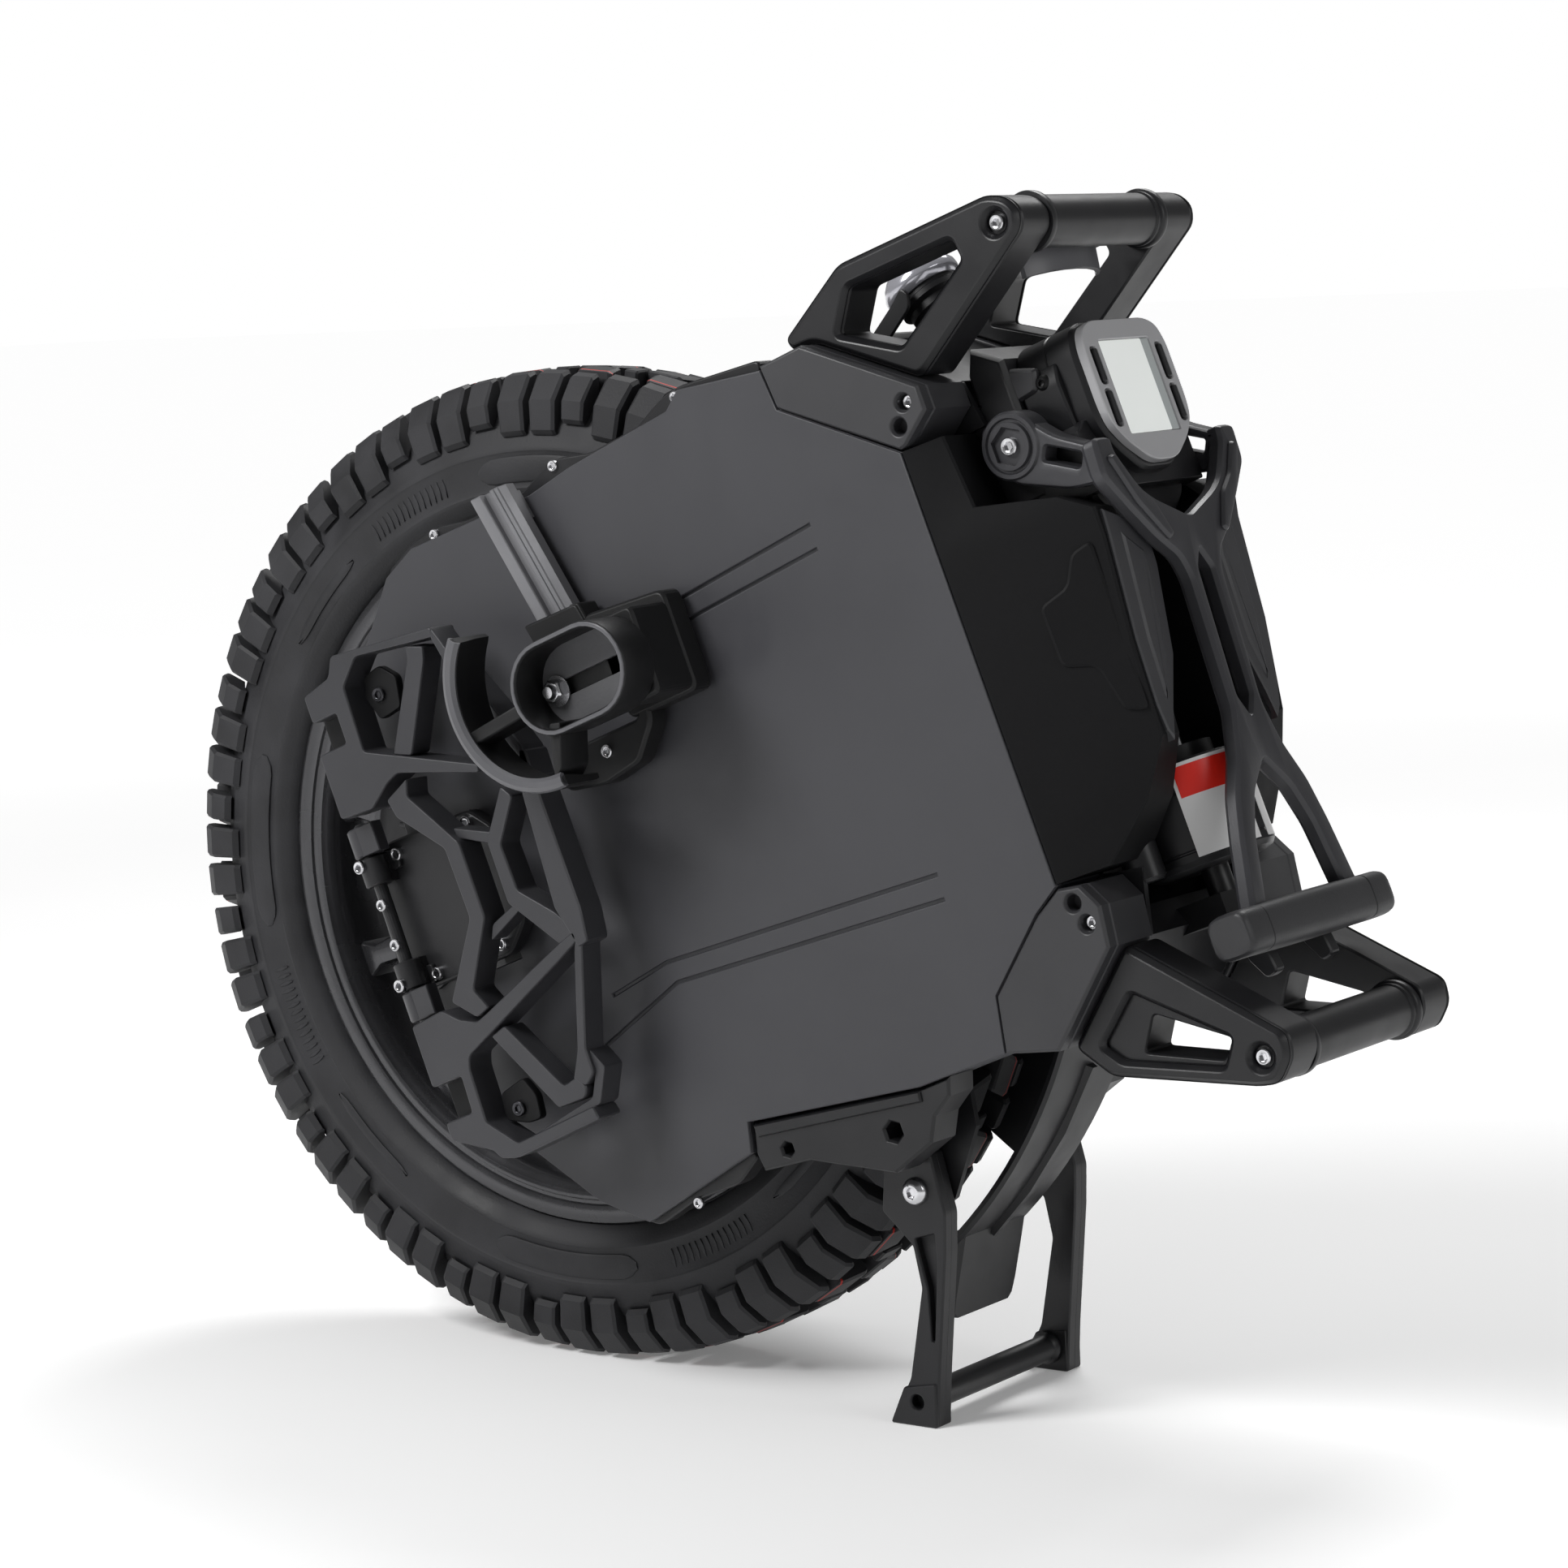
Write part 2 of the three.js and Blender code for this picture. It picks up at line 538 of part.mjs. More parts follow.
// ---- Power pads, their brackets and rails ----------------------------------------------------------------------
const RAIL_SLOPE = 24 / 110;
const RAIL_FRONT = 208;
function railStrip(xFront, xRear, bottom, top) {
  const rise = (x) => RAIL_SLOPE * (RAIL_FRONT - x);
  return [
    [xFront, bottom + rise(xFront)], [xFront, top + rise(xFront)],
    [xRear, top + rise(xRear)], [xRear, bottom + rise(xRear)],
  ];
}
const railOutline = railStrip(RAIL_FRONT, 97, 90, 118);
const railGroove = slab(railStrip(212, 90, 100, 108), RAIL_OUTER - 5, RAIL_OUTER + 4);
const railFoot = slab(railStrip(204, 186, 92, 116), PANEL_OUTER + GAP, RAIL_INNER + 2);
addPair('pad_rail', cut(join(slab(railOutline, RAIL_INNER, RAIL_OUTER), railFoot), railGroove), aluminium);

const sleeveOutline = [[127, 102], [126, 143], [98, 149], [98, 108]];
const sleeveHole = slab(
  railStrip(214, 86, 90 - GAP - 0.1, 118 + GAP + 0.1), RAIL_INNER - GAP, RAIL_OUTER + GAP,
);
const padWing = [[120, 143.6], [112, 204], [52, 204], [52, 152], [99, 147.6]];
const padBridge = block([54, 106], [118, 157.4], [174, 203]);
const padTongue = [[66, 122], [90, 122], [92, 200], [64, 200]];
const bracketSolid = cut(join(
  slab(sleeveOutline, 108.4, 125.8), slab(padWing, 108.4, 125.8), padBridge,
  slab(padTongue, PAD_BACK, 157.4),
), sleeveHole);
addPair('pad_bracket', bracketSolid, satinBlack);

const CUP_FLOOR = 158;
const cupOuter = stadium(CUP_CENTRE, 27, 42);
const cupInner = stadium(CUP_CENTRE, 23.5, 38.5);
const padSlot = stadium([PAD_BOLT[0], PAD_BOLT[1] + 17], 4, 21, 4);
const cup = cut(
  slab(cupOuter, CUP_FLOOR, PAD_FACE),
  slab(cupInner, CUP_FLOOR + 4, PAD_FACE + 5),
  slab(padSlot, CUP_FLOOR - 5, CUP_FLOOR + 8),
);
const SHELL_CENTRE = [85, 138];
const shell = slab(band(SHELL_CENTRE, 56, 61, -45, -182, 22), PAD_BACK, PAD_FACE);
const shellTie = slab([[29, 133], [34, 140], [58, 150], [58, 140]], CUP_FLOOR, PAD_FACE - 2);
const lowerTie = slab([[68, 80], [74, 79], [76, 128], [70, 128]], CUP_FLOOR, PAD_FACE - 2);
addPair('power_pad', join(cup, shell, shellTie, lowerTie), satinBlack);
addPair('pad_bolt', join(
  slab(hexagon(PAD_BOLT, 7), CUP_FLOOR + 4 + GAP, CUP_FLOOR + 10),
  drum(PAD_BOLT, 3.5, CUP_FLOOR - GAP / 2, CUP_FLOOR + 6, 12),
), steel);

// ---- Kickstand ---------------------------------------------------------------------------------------------------
// Its legs are drawn as they stand: X back along the floor and Z up from it, then turned to the riding frame.
function fromFloor([x, z]) {
  const up = z - TYRE_RADIUS;
  return [Math.cos(LEAN) * x + Math.sin(LEAN) * up, -Math.sin(LEAN) * x + Math.cos(LEAN) * up];
}

const legOutline = [
  [-252, 152], [-284, 156], [-302, 124], [-299, 80], [-291, 28], [-284, 0], [-250, 0], [-260, 28],
  [-266, 92], [-248, 122],
].map(fromFloor);
const legWindow = [[-291, 104], [-276, 104], [-273, 60], [-283, 52]].map(fromFloor);
const legBore = drum(STAND_PIVOT, 4.4, STAND_INNER - 4, STAND_OUTER + 4, 12);
const FOOT_BAR = fromFloor([-268, 14]);
const footBore = drum(FOOT_BAR, 8.4, STAND_INNER - 4, STAND_OUTER - 5, 16);
addPair('kickstand_leg', cut(
  slab(legOutline, STAND_INNER, STAND_OUTER, 0, [legWindow]), legBore, footBore,
), castBlack);
add('kickstand_bar', drum(FOOT_BAR, 8, -STAND_OUTER + 5.5, STAND_OUTER - 5.5), satinBlack);

// ---- Parked stance: leaning back with the tyre and both feet on the floor --------------------------------------------
machine.rotation.y = -LEAN;
machine.position.z = TYRE_RADIUS;
machine.updateMatrixWorld(true);
const extent = new THREE.Box3().setFromObject(machine, true);
machine.position.x = -(extent.min.x + extent.max.x) / 2;

const unicycle = new THREE.Group();
unicycle.add(machine);
export default unicycle;
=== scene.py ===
"""Looks for the off-road electric unicycle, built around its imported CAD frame.

Shapes are drawn in the riding frame, in millimetres: X forward, Y to the left, Z up from the axle.
RIDING turns them into the row frame, in metres, where the machine leans back on its kickstand.
"""

from math import copysign, cos, pi, radians, sin, sqrt

import bmesh
import bpy
from mathutils import Matrix, Vector, geometry


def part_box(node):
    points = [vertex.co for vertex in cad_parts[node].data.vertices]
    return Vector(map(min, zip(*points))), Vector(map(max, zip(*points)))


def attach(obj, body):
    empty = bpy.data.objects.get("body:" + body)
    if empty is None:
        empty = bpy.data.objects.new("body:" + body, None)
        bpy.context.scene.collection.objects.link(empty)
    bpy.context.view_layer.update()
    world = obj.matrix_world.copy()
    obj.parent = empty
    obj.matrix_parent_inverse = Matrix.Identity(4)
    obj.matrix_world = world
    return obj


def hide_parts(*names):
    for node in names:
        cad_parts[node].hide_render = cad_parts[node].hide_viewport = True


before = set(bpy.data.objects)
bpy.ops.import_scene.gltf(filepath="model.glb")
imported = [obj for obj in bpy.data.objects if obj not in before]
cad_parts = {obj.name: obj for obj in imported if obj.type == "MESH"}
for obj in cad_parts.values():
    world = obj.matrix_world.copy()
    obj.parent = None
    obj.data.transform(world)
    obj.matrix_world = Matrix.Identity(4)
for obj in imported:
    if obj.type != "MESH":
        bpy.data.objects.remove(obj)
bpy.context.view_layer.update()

# Frames
LEAN = radians(69)
AXLE_BOX = [Vector(corner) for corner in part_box("axle")]
AXLE = (AXLE_BOX[0] + AXLE_BOX[1]) / 2
RIDING = Matrix.Translation(AXLE) @ Matrix.Rotation(-LEAN, 4, "Y") @ Matrix.Scale(0.001, 4)

# Camera
CAMERA_PLACE = Vector((-1.4845, 2.000, 0.646))
CAMERA_RIGHT = Vector((-0.8103, -0.5845, -0.0426)).normalized()
CAMERA_FORWARD = Vector((0.5851, -0.8024, -0.1180)).normalized()
CAMERA_UP = CAMERA_RIGHT.cross(CAMERA_FORWARD).normalized()
CAMERA_RIGHT = CAMERA_FORWARD.cross(CAMERA_UP)


def link(name, data):
    """A new object in the scene."""
    made = bpy.data.objects.new(name, data)
    bpy.context.scene.collection.objects.link(made)
    return made


camera_data = bpy.data.cameras.new("camera")
camera_data.sensor_width = 36
camera_data.lens = 97.4
camera = link("camera", camera_data)
turn = Matrix((CAMERA_RIGHT, CAMERA_UP, -CAMERA_FORWARD)).transposed()
camera.matrix_world = Matrix.Translation(CAMERA_PLACE) @ turn.to_4x4()
bpy.context.scene.camera = camera
bpy.context.scene.view_settings.view_transform = "Standard"


# Materials
def put(node, **values):
    """Sets a node's inputs by name, with _ for a space."""
    for name, value in values.items():
        node.inputs[name.replace("_", " ")].default_value = value


def add(tree, kind, **values):
    made = tree.nodes.new("ShaderNode" + kind)
    put(made, **values)
    return made


def new_material(name, color, roughness, metallic=0.0, coat=0.0):
    made = bpy.data.materials.new(name)
    made.use_nodes = True
    shader = made.node_tree.nodes["Principled BSDF"]
    put(shader, Metallic=metallic, Roughness=roughness, Coat_Weight=coat, Base_Color=(*color, 1))
    return made, made.node_tree, shader


def noise(tree, scale, detail):
    made = add(tree, "TexNoise", Scale=scale, Detail=detail)
    tree.links.new(add(tree, "TexCoord").outputs["Object"], made.inputs["Vector"])
    return made.outputs["Fac"]


def mixed(tree, factor, first, second):
    """A blend of two colours. Either may be a node's output."""
    made = add(tree, "Mix")
    made.data_type = "RGBA"
    for socket, color in (("A", first), ("B", second)):
        if isinstance(color, tuple):
            made.inputs[socket].default_value = (*color, 1)
        else:
            tree.links.new(color, made.inputs[socket])
    tree.links.new(factor, made.inputs["Factor"])
    return made.outputs["Result"]


def spread(tree, value, low, high):
    """The middle of a noise's range, stretched to run from low to high."""
    made = add(tree, "MapRange", From_Min=0.3, From_Max=0.7, To_Min=low, To_Max=high)
    tree.links.new(value, made.inputs["Value"])
    return made.outputs["Result"]


def bumped(tree, shader, grain, detail, strength, distance):
    bump = add(tree, "Bump", Strength=strength, Distance=distance)
    tree.links.new(noise(tree, grain, detail), bump.inputs["Height"])
    tree.links.new(bump.outputs["Normal"], shader.inputs["Normal"])


def moulded(name, color, roughness, metallic=0.0, grain=1600, depth=0.12, mottle=0.12, coat=0.0, gloss=0.5):
    """Satin plastic or painted metal: a fine grain, with patches of slightly different tone and gloss."""
    made, tree, shader = new_material(name, color, roughness, metallic, coat)
    put(shader, Specular_IOR_Level=gloss)
    dark, light = (tuple(c * share for c in color) for share in (1 - mottle, 1 + mottle))
    tone = mixed(tree, spread(tree, noise(tree, 9, 4), 0, 1), dark, light)
    tree.links.new(tone, shader.inputs["Base Color"])
    rough = spread(tree, noise(tree, 35, 5), roughness - 0.05, roughness + 0.07)
    tree.links.new(rough, shader.inputs["Roughness"])
    bumped(tree, shader, grain, 2, depth, 0.0003)
    return made


satin_black = moulded("satin_black", (0.0085, 0.0085, 0.0098), 0.38, gloss=0.4)
deep_black = moulded("deep_black", (0.003, 0.003, 0.0035), 0.5, gloss=0.25)
panel_grey = moulded("panel_grey", (0.036, 0.036, 0.041), 0.46, grain=2200, mottle=0.06)
corner_grey = moulded("corner_grey", (0.026, 0.026, 0.029), 0.48, grain=2200)
# The deck's slope is black plastic, made darker still as painted shade for the slope turned away from the
# light.
deck_black_and_painted_shade = moulded("deck_black_and_painted_shade", (0.0028, 0.0028, 0.0034), 0.58, grain=2200, gloss=0.18)
deck_grey = moulded("deck_grey", (0.026, 0.026, 0.029), 0.42)
cast_grey = moulded("cast_grey", (0.034, 0.034, 0.038), 0.38, metallic=0.2, grain=1100, depth=0.2)
cast_dark = moulded("cast_dark", (0.012, 0.012, 0.0135), 0.4, metallic=0.2, grain=1100, depth=0.2)
rim_black = moulded("rim_black", (0.05, 0.05, 0.054), 0.26, metallic=0.7, coat=0.4)
motor_black = moulded("motor_black", (0.012, 0.012, 0.013), 0.4, metallic=0.4)
bolt_steel = moulded("bolt_steel", (0.62, 0.62, 0.64), 0.2, metallic=1.0, depth=0.05)
dark_steel = moulded("dark_steel", (0.05, 0.05, 0.055), 0.3, metallic=0.9)
rail_alloy = moulded("rail_alloy", (0.19, 0.19, 0.2), 0.36, metallic=0.55, grain=900)
pad_rubber = moulded("pad_rubber", (0.005, 0.005, 0.0055), 0.5, gloss=0.35)
pad_rim = moulded("pad_rim", (0.085, 0.085, 0.092), 0.36)
cup_floor = moulded("cup_floor", (0.075, 0.075, 0.08), 0.6, grain=420, depth=0.6, mottle=0.5)
bezel_grey = moulded("bezel_grey", (0.34, 0.34, 0.35), 0.16, coat=0.6, depth=0.02, mottle=0.05)
screen_glass = moulded("screen_glass", (0.84, 0.87, 0.85), 0.14, coat=1.0, depth=0.0, mottle=0.03)
put(screen_glass.node_tree.nodes["Principled BSDF"], Emission_Color=(0.93, 0.96, 0.93, 1),
    Emission_Strength=0.22)
screen_edge = moulded("screen_edge", (0.4, 0.43, 0.43), 0.12, coat=1.0, depth=0.0, mottle=0.03)
lens_ring = moulded("lens_ring", (0.55, 0.55, 0.6), 0.18, metallic=0.6, coat=0.5, depth=0.02)
cell_wrap = moulded("cell_wrap", (0.012, 0.013, 0.018), 0.6)
grip_rubber = moulded("grip_rubber", (0.02, 0.02, 0.022), 0.5, grain=900, depth=0.3)
sticker_white = moulded("sticker_white", (0.72, 0.72, 0.72), 0.35, depth=0.03, mottle=0.03)
sticker_red = moulded("sticker_red", (0.75, 0.02, 0.01), 0.35, depth=0.03, mottle=0.05)


# The tread's red lines, in metres: distance from the middle, half their width, and the radius they start at.
LINE_Y, LINE_HALF_WIDTH, LINE_RADIUS = 0.0212, 0.0006, 0.2965


def tyre_material():
    """Rubber with dusty patches, and two thin red lines round the tread."""
    made, tree, shader = new_material("tyre_rubber", (0.016, 0.016, 0.018), 0.55)
    put(shader, Specular_IOR_Level=0.4)
    split = add(tree, "SeparateXYZ")
    tree.links.new(add(tree, "TexCoord").outputs["Object"], split.inputs["Vector"])

    def maths(operation, value, other=0.0):
        node = add(tree, "Math")
        node.operation = operation
        tree.links.new(value, node.inputs[0])
        if isinstance(other, float):
            node.inputs[1].default_value = other
        else:
            tree.links.new(other, node.inputs[1])
        return node.outputs[0]

    off_line = maths("ABSOLUTE", maths("SUBTRACT", maths("ABSOLUTE", split.outputs["Y"]), LINE_Y))
    on_line = maths("LESS_THAN", off_line, LINE_HALF_WIDTH)
    along = maths("POWER", maths("SUBTRACT", split.outputs["X"], float(AXLE.x)), 2.0)
    above = maths("POWER", maths("SUBTRACT", split.outputs["Z"], float(AXLE.z)), 2.0)
    outer = maths("GREATER_THAN", maths("SQRT", maths("ADD", along, above)), LINE_RADIUS)
    dust = noise(tree, 26, 6)
    rubber = mixed(tree, spread(tree, dust, 0, 1), (0.009, 0.009, 0.0105), (0.026, 0.026, 0.029))
    painted = mixed(tree, maths("MULTIPLY", on_line, outer), rubber, (0.4, 0.02, 0.012))
    tree.links.new(painted, shader.inputs["Base Color"])
    tree.links.new(spread(tree, dust, 0.52, 0.72), shader.inputs["Roughness"])
    bumped(tree, shader, 700, 4, 0.25, 0.0006)
    return made


tyre_rubber = tyre_material()


# Outlines
def rounded(points, radius, steps=4):
    """An outline with each corner turned into a curve."""
    made = []
    count = len(points)
    for i, corner in enumerate(points):
        corner = Vector(corner)
        before = Vector(points[i - 1]) - corner
        after = Vector(points[(i + 1) % count]) - corner
        reach = min(radius, before.length * 0.45, after.length * 0.45)
        start = corner + before.normalized() * reach
        end = corner + after.normalized() * reach
        for s in range(steps + 1):
            t = s / steps
            made.append(tuple(start * (1 - t) ** 2 + corner * 2 * t * (1 - t) + end * t * t))
    return made


def arc(centre, radius, start, end, steps):
    """Points round a centre, from start to end in degrees."""
    made = []
    for i in range(steps + 1):
        angle = radians(start + (end - start) * i / steps)
        made.append((centre[0] + radius * cos(angle), centre[1] + radius * sin(angle)))
    return made


def circle(centre, radius, steps=24):
    return arc(centre, radius, 0, 360, steps)[:-1]


def stadium(centre, half_width, half_length, steps=10):
    reach = half_length - half_width
    top = arc((centre[0], centre[1] + reach), half_width, 0, 180, steps)
    bottom = arc((centre[0], centre[1] - reach), half_width, 180, 360, steps)
    return top + bottom


def strip(path, width):
    """A band of one width along an open path, with mitred corners."""
    left, right = [], []
    for i, point in enumerate(path):
        point = Vector(point)
        ahead = Vector(path[min(i + 1, len(path) - 1)]) - point
        behind = point - Vector(path[max(i - 1, 0)])
        one = (behind if behind.length else ahead).normalized()
        two = (ahead if ahead.length else behind).normalized()
        normal = Vector((-(one + two).y, (one + two).x)).normalized()
        grow = 1 / max(0.4, normal.dot(Vector((-one.y, one.x))))
        left.append(tuple(point + normal * width / 2 * grow))
        right.append(tuple(point - normal * width / 2 * grow))
    return left + right[::-1]


def mirrored(half):
    """Half an outline with its mirror image. Points at 0 aren't repeated."""
    return half + [(a, -b) for a, b in reversed(half) if b]


def area(loop):
    return sum(a[0] * b[1] - b[0] * a[1] for a, b in zip(loop, loop[1:] + loop[:1])) / 2


def wound(loop, anticlockwise):
    return list(loop) if (area(list(loop)) > 0) == anticlockwise else list(loop)[::-1]


def inset(loop, amount):
    """The loop moved to its left: an anticlockwise outline shrinks, and a clockwise hole grows."""
    made = []
    for i, point in enumerate(loop):
        point = Vector(point)
        one = (point - Vector(loop[i - 1])).normalized()
        two = (Vector(loop[(i + 1) % len(loop)]) - point).normalized()
        middle = (one + two).normalized() if (one + two).length > 1e-6 else one
        normal = Vector((-middle.y, middle.x))
        grow = 1 / max(0.35, normal.dot(Vector((-one.y, one.x))))
        made.append(point + normal * amount * grow)
    return made


# Solids: lists of (vertices, faces), in the riding frame
def filled(loops):
    """Triangles that fill an outline with holes, and whether they cover exactly its area."""
    flat = [[Vector((x, y, 0)) for x, y in loop] for loop in loops]
    triangles = geometry.tessellate_polygon(flat)
    corners = [corner for loop in flat for corner in loop]
    covered = sum(abs(area([corners[i] for i in triangle])) for triangle in triangles)
    return triangles, abs(covered - abs(sum(area(loop) for loop in flat))) < 0.3


def chamfered(loops, low, high, edge, soft):
    """The plate's vertices and faces, and whether its two faces are sound."""
    chamfer = edge - soft
    profile = [(edge, 0.0), (chamfer, soft * 0.4), (soft * 0.4, chamfer + soft * 0.6),
        (0.0, edge + soft * 0.4)]
    profile += [(i, high - low - rise) for i, rise in reversed(profile)]
    vertices, faces, caps = [], [], ([], [])
    for loop in loops:
        start, count = len(vertices), len(loop)
        for depth, rise in profile:
            vertices += [(p.x, p.y, low + rise) for p in inset(loop, depth)]
        for ring in range(len(profile) - 1):
            for i in range(count):
                a = start + ring * count + i
                b = start + ring * count + (i + 1) % count
                faces.append((a, b, b + count, a + count))
        caps[0].append(range(start, start + count))
        caps[1].append(range(start + (len(profile) - 1) * count, start + len(profile) * count))
    sound = True
    for cap in caps:
        indices = [i for loop in cap for i in loop]
        triangles, good = filled([[vertices[i][:2] for i in loop] for loop in cap])
        faces += [tuple(indices[i] for i in triangle) for triangle in triangles]
        sound = sound and good
    return vertices, faces, sound


def plate(outline, low, high, holes=(), edge=1.0, soft=0.35, plane="XZ"):
    """A plate with a chamfer of edge at both faces, its own edges softened. Where the outline is too
    fine for the chamfer, the chamfer is made smaller."""
    soft = min(soft, edge)
    loops = [wound(outline, True)] + [wound(hole, False) for hole in holes]
    for share in (1, 0.75, 0.5, 0.3, 0.15):
        vertices, faces, sound = chamfered(loops, low, high, edge * share, soft * share)
        if sound:
            break
    if plane == "XZ":
        vertices = [(x, w, z) for x, z, w in vertices]
    return vertices, faces


def slab(points, radius, *extent, **details):
    """A plate whose outline's corners are rounded."""
    return plate(rounded(points, radius), *extent, **details)


def around(centre, radius, y, angle):
    """A point at an angle round an axis along Y."""
    return (centre[0] + radius * cos(angle), y, centre[1] + radius * sin(angle))


def skin(rings, wrap=False):
    """Rings of points joined in order. A ring of one point closes to a tip, and open ends are capped."""
    vertices = [tuple(p) for ring in rings for p in ring]
    starts = [sum(len(r) for r in rings[:i]) for i in range(len(rings))]
    faces = []
    pairs = list(zip(range(len(rings)), range(1, len(rings))))
    if wrap:
        pairs.append((len(rings) - 1, 0))
    for a, b in pairs:
        count = max(len(rings[a]), len(rings[b]))
        for i in range(count):
            j = (i + 1) % count
            if len(rings[a]) == 1:
                faces.append((starts[a], starts[b] + j, starts[b] + i))
            elif len(rings[b]) == 1:
                faces.append((starts[a] + i, starts[a] + j, starts[b]))
            else:
                faces.append((starts[a] + i, starts[a] + j, starts[b] + j, starts[b] + i))
    if not wrap:
        for k in (0, len(rings) - 1):
            if len(rings[k]) > 2:
                faces.append(tuple(range(starts[k], starts[k] + len(rings[k]))))
    return vertices, faces


def turned(profile, sides=48, centre=(0, 0), wrap=False, hexed=()):
    """A profile of (radius, y) turned about an axis along Y. Rings numbered in hexed are hexagons."""
    rings = []
    for k, (radius, y) in enumerate(profile):
        if radius < 1e-6:
            rings.append([(centre[0], y, centre[1])])
            continue
        ring = []
        for i in range(sides):
            angle = 2 * pi * i / sides
            flat = cos(radians(30)) / cos((angle % (pi / 3)) - pi / 6)
            reach = radius * (flat if k in hexed else 1)
            ring.append(around(centre, reach, y, angle))
        rings.append(ring)
    return skin(rings, wrap)


def moved(solid, matrix):
    vertices, faces = solid
    return [tuple(matrix @ Vector(v)) for v in vertices], faces


def flipped(solid):
    vertices, faces = solid
    return [(x, -y, z) for x, y, z in vertices], faces


def both(*solids):
    """Solids of the left side, and their mirror images."""
    return [*solids, *map(flipped, solids)]


def along_x(profile, sides, y=0.0, z=0.0):
    """A profile of (radius, x) turned about an axis along X."""
    swap = Matrix.Translation((0, y, z)) @ Matrix.Rotation(radians(-90), 4, "Z")
    return moved(turned(profile, sides), swap)


def socket_bolt(centre, y, radius=4.0, height=3.5):
    """A cap screw with a hexagon socket, its head pointing along +Y."""
    top = y + height
    return turned([
        (0, y), (radius, y), (radius, top - 0.5), (radius - 0.5, top), (radius * 0.62, top),
        (radius * 0.55, top - 0.3), (radius * 0.55, top - height * 0.6), (0, top - height * 0.6),
    ], 24, centre, hexed=(5, 6))


def domed_bolt(centre, y, radius, height):
    top = y + height
    return turned([
        (0, y), (radius, y), (radius, y + height * 0.25), (radius * 0.9, y + height * 0.6),
        (radius * 0.68, top - height * 0.1), (radius * 0.5, top), (radius * 0.4, top - 0.4),
        (radius * 0.36, top - height * 0.4), (0, top - height * 0.4),
    ], 28, centre, hexed=(6, 7))


# Edges that turn by less than this are shaded smooth.
FLAT, ROUND = radians(21), radians(42)


def piece(name, solids, finish, *nodes, body="chassis", slot="body_plastic", smooth=FLAT):
    """Makes the object, in place, riding on its body and standing for the CAD nodes named."""
    vertices, faces = [], []
    for solid_vertices, solid_faces in solids:
        start = len(vertices)
        vertices += [RIDING @ Vector(v) for v in solid_vertices]
        faces += [tuple(start + i for i in face) for face in solid_faces]
    mesh = bpy.data.meshes.new(name)
    mesh.from_pydata(vertices, [], faces)
    shape = bmesh.new()
    shape.from_mesh(mesh)
    bmesh.ops.recalc_face_normals(shape, faces=shape.faces)
    shape.to_mesh(mesh)
    shape.free()
    mesh.materials.append(finish)
    mesh.shade_smooth()
    mesh.set_sharp_from_angle(angle=smooth)
    made = link(name, mesh)
    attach(made, body)
    if nodes:
        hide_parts(*nodes)


def pair(name, solids, finish, *nodes, body="chassis", **looks):
    """The left piece and its mirror image. SIDE in a body's or node's name becomes left or right."""
    for side in ("left", "right"):
        shapes = solids if side == "left" else map(flipped, solids)
        names = [node.replace("SIDE", side) for node in nodes]
        piece(f"{name}_{side}", shapes, finish, *names, body=body.replace("SIDE", side), **looks)


def screws(name, solids, *nodes, finish=bolt_steel, **ride):
    pair(name, solids, finish, *nodes, slot="bolt_steel", smooth=ROUND, **ride)


# Tyre
PITCHES = 72
PITCH = 360 / PITCHES

carcass = [
    (285, 0), (284.5, 14), (281, 27), (275, 36), (266, 41.5), (256, 44.2), (254.5, 45.2), (252, 45.4),
    (250.5, 44.6), (240, 44.6), (232, 43.6), (230, 44.4), (228, 43.9), (226, 42.4), (222, 40), (218.4, 36),
    (217.2, 33.2), (206, 33.2), (206, 24), (240, 35), (268, 31), (278, 16), (278, 0),
]
tyre_solids = [turned(mirrored(carcass), 144, wrap=True)]
knob_solids = []


def knob(section, start, end, lean=0.0):
    """A block of tread: a section of (y, radius) swept round the wheel, its end faces drawn in a little."""
    middle_y = sum(y for y, _ in section) / len(section)
    base = min(radius for _, radius in section)
    rings = []
    for share, shrink in ((0.0, 0.86), (0.1, 1.0), (0.9, 1.0), (1.0, 0.86)):
        height = 0.94 + 0.06 * (shrink > 0.9)
        rings.append([around((0, 0), base + (radius - base) * height, middle_y + (y - middle_y) * shrink,
                             radians(start + (end - start) * share + lean * (y - middle_y)))
                      for y, radius in section])
    return skin(rings)


SHOULDER = [(26, 283), (26.4, 298), (28, 298.8), (35, 297), (44.4, 285), (46.6, 282), (46.8, 264), (44, 261),
    (38, 274)]
SHORT_SHOULDER = [(28, 283), (28.4, 297), (30, 297.8), (35.6, 296), (43.6, 285.6), (46, 282), (46, 271),
    (43, 268), (38, 274)]
CENTRE_BLOCK = [(2.2, 282), (2.4, 299.2), (4, 300), (20, 299.3), (23.6, 298.6), (24, 282)]
MIDDLE_BAR = [(-9, 282), (-8.6, 299), (-7, 300), (7, 300), (8.6, 299), (9, 282)]
for i in range(PITCHES):
    at = i * PITCH
    short = i % 3 == 2
    for mirror in (1, -1):
        shift = 0 if mirror > 0 else PITCH / 2
        shape = SHORT_SHOULDER if short else SHOULDER
        shape = [(mirror * y, radius) for y, radius in shape]
        knob_solids.append(knob(shape, at + shift, at + shift + (3.4 if short else 4.0), 0.012 * mirror))
    if i % 2 == 0:
        for mirror in (1, -1):
            shape = [(mirror * y, radius) for y, radius in CENTRE_BLOCK]
            knob_solids.append(knob(shape, at + 2.0 + 1.2 * mirror, at + 7.0 + 1.2 * mirror, 0.07 * mirror))
    else:
        knob_solids.append(knob(MIDDLE_BAR, at + 3.3, at + 5.2, 0.03))


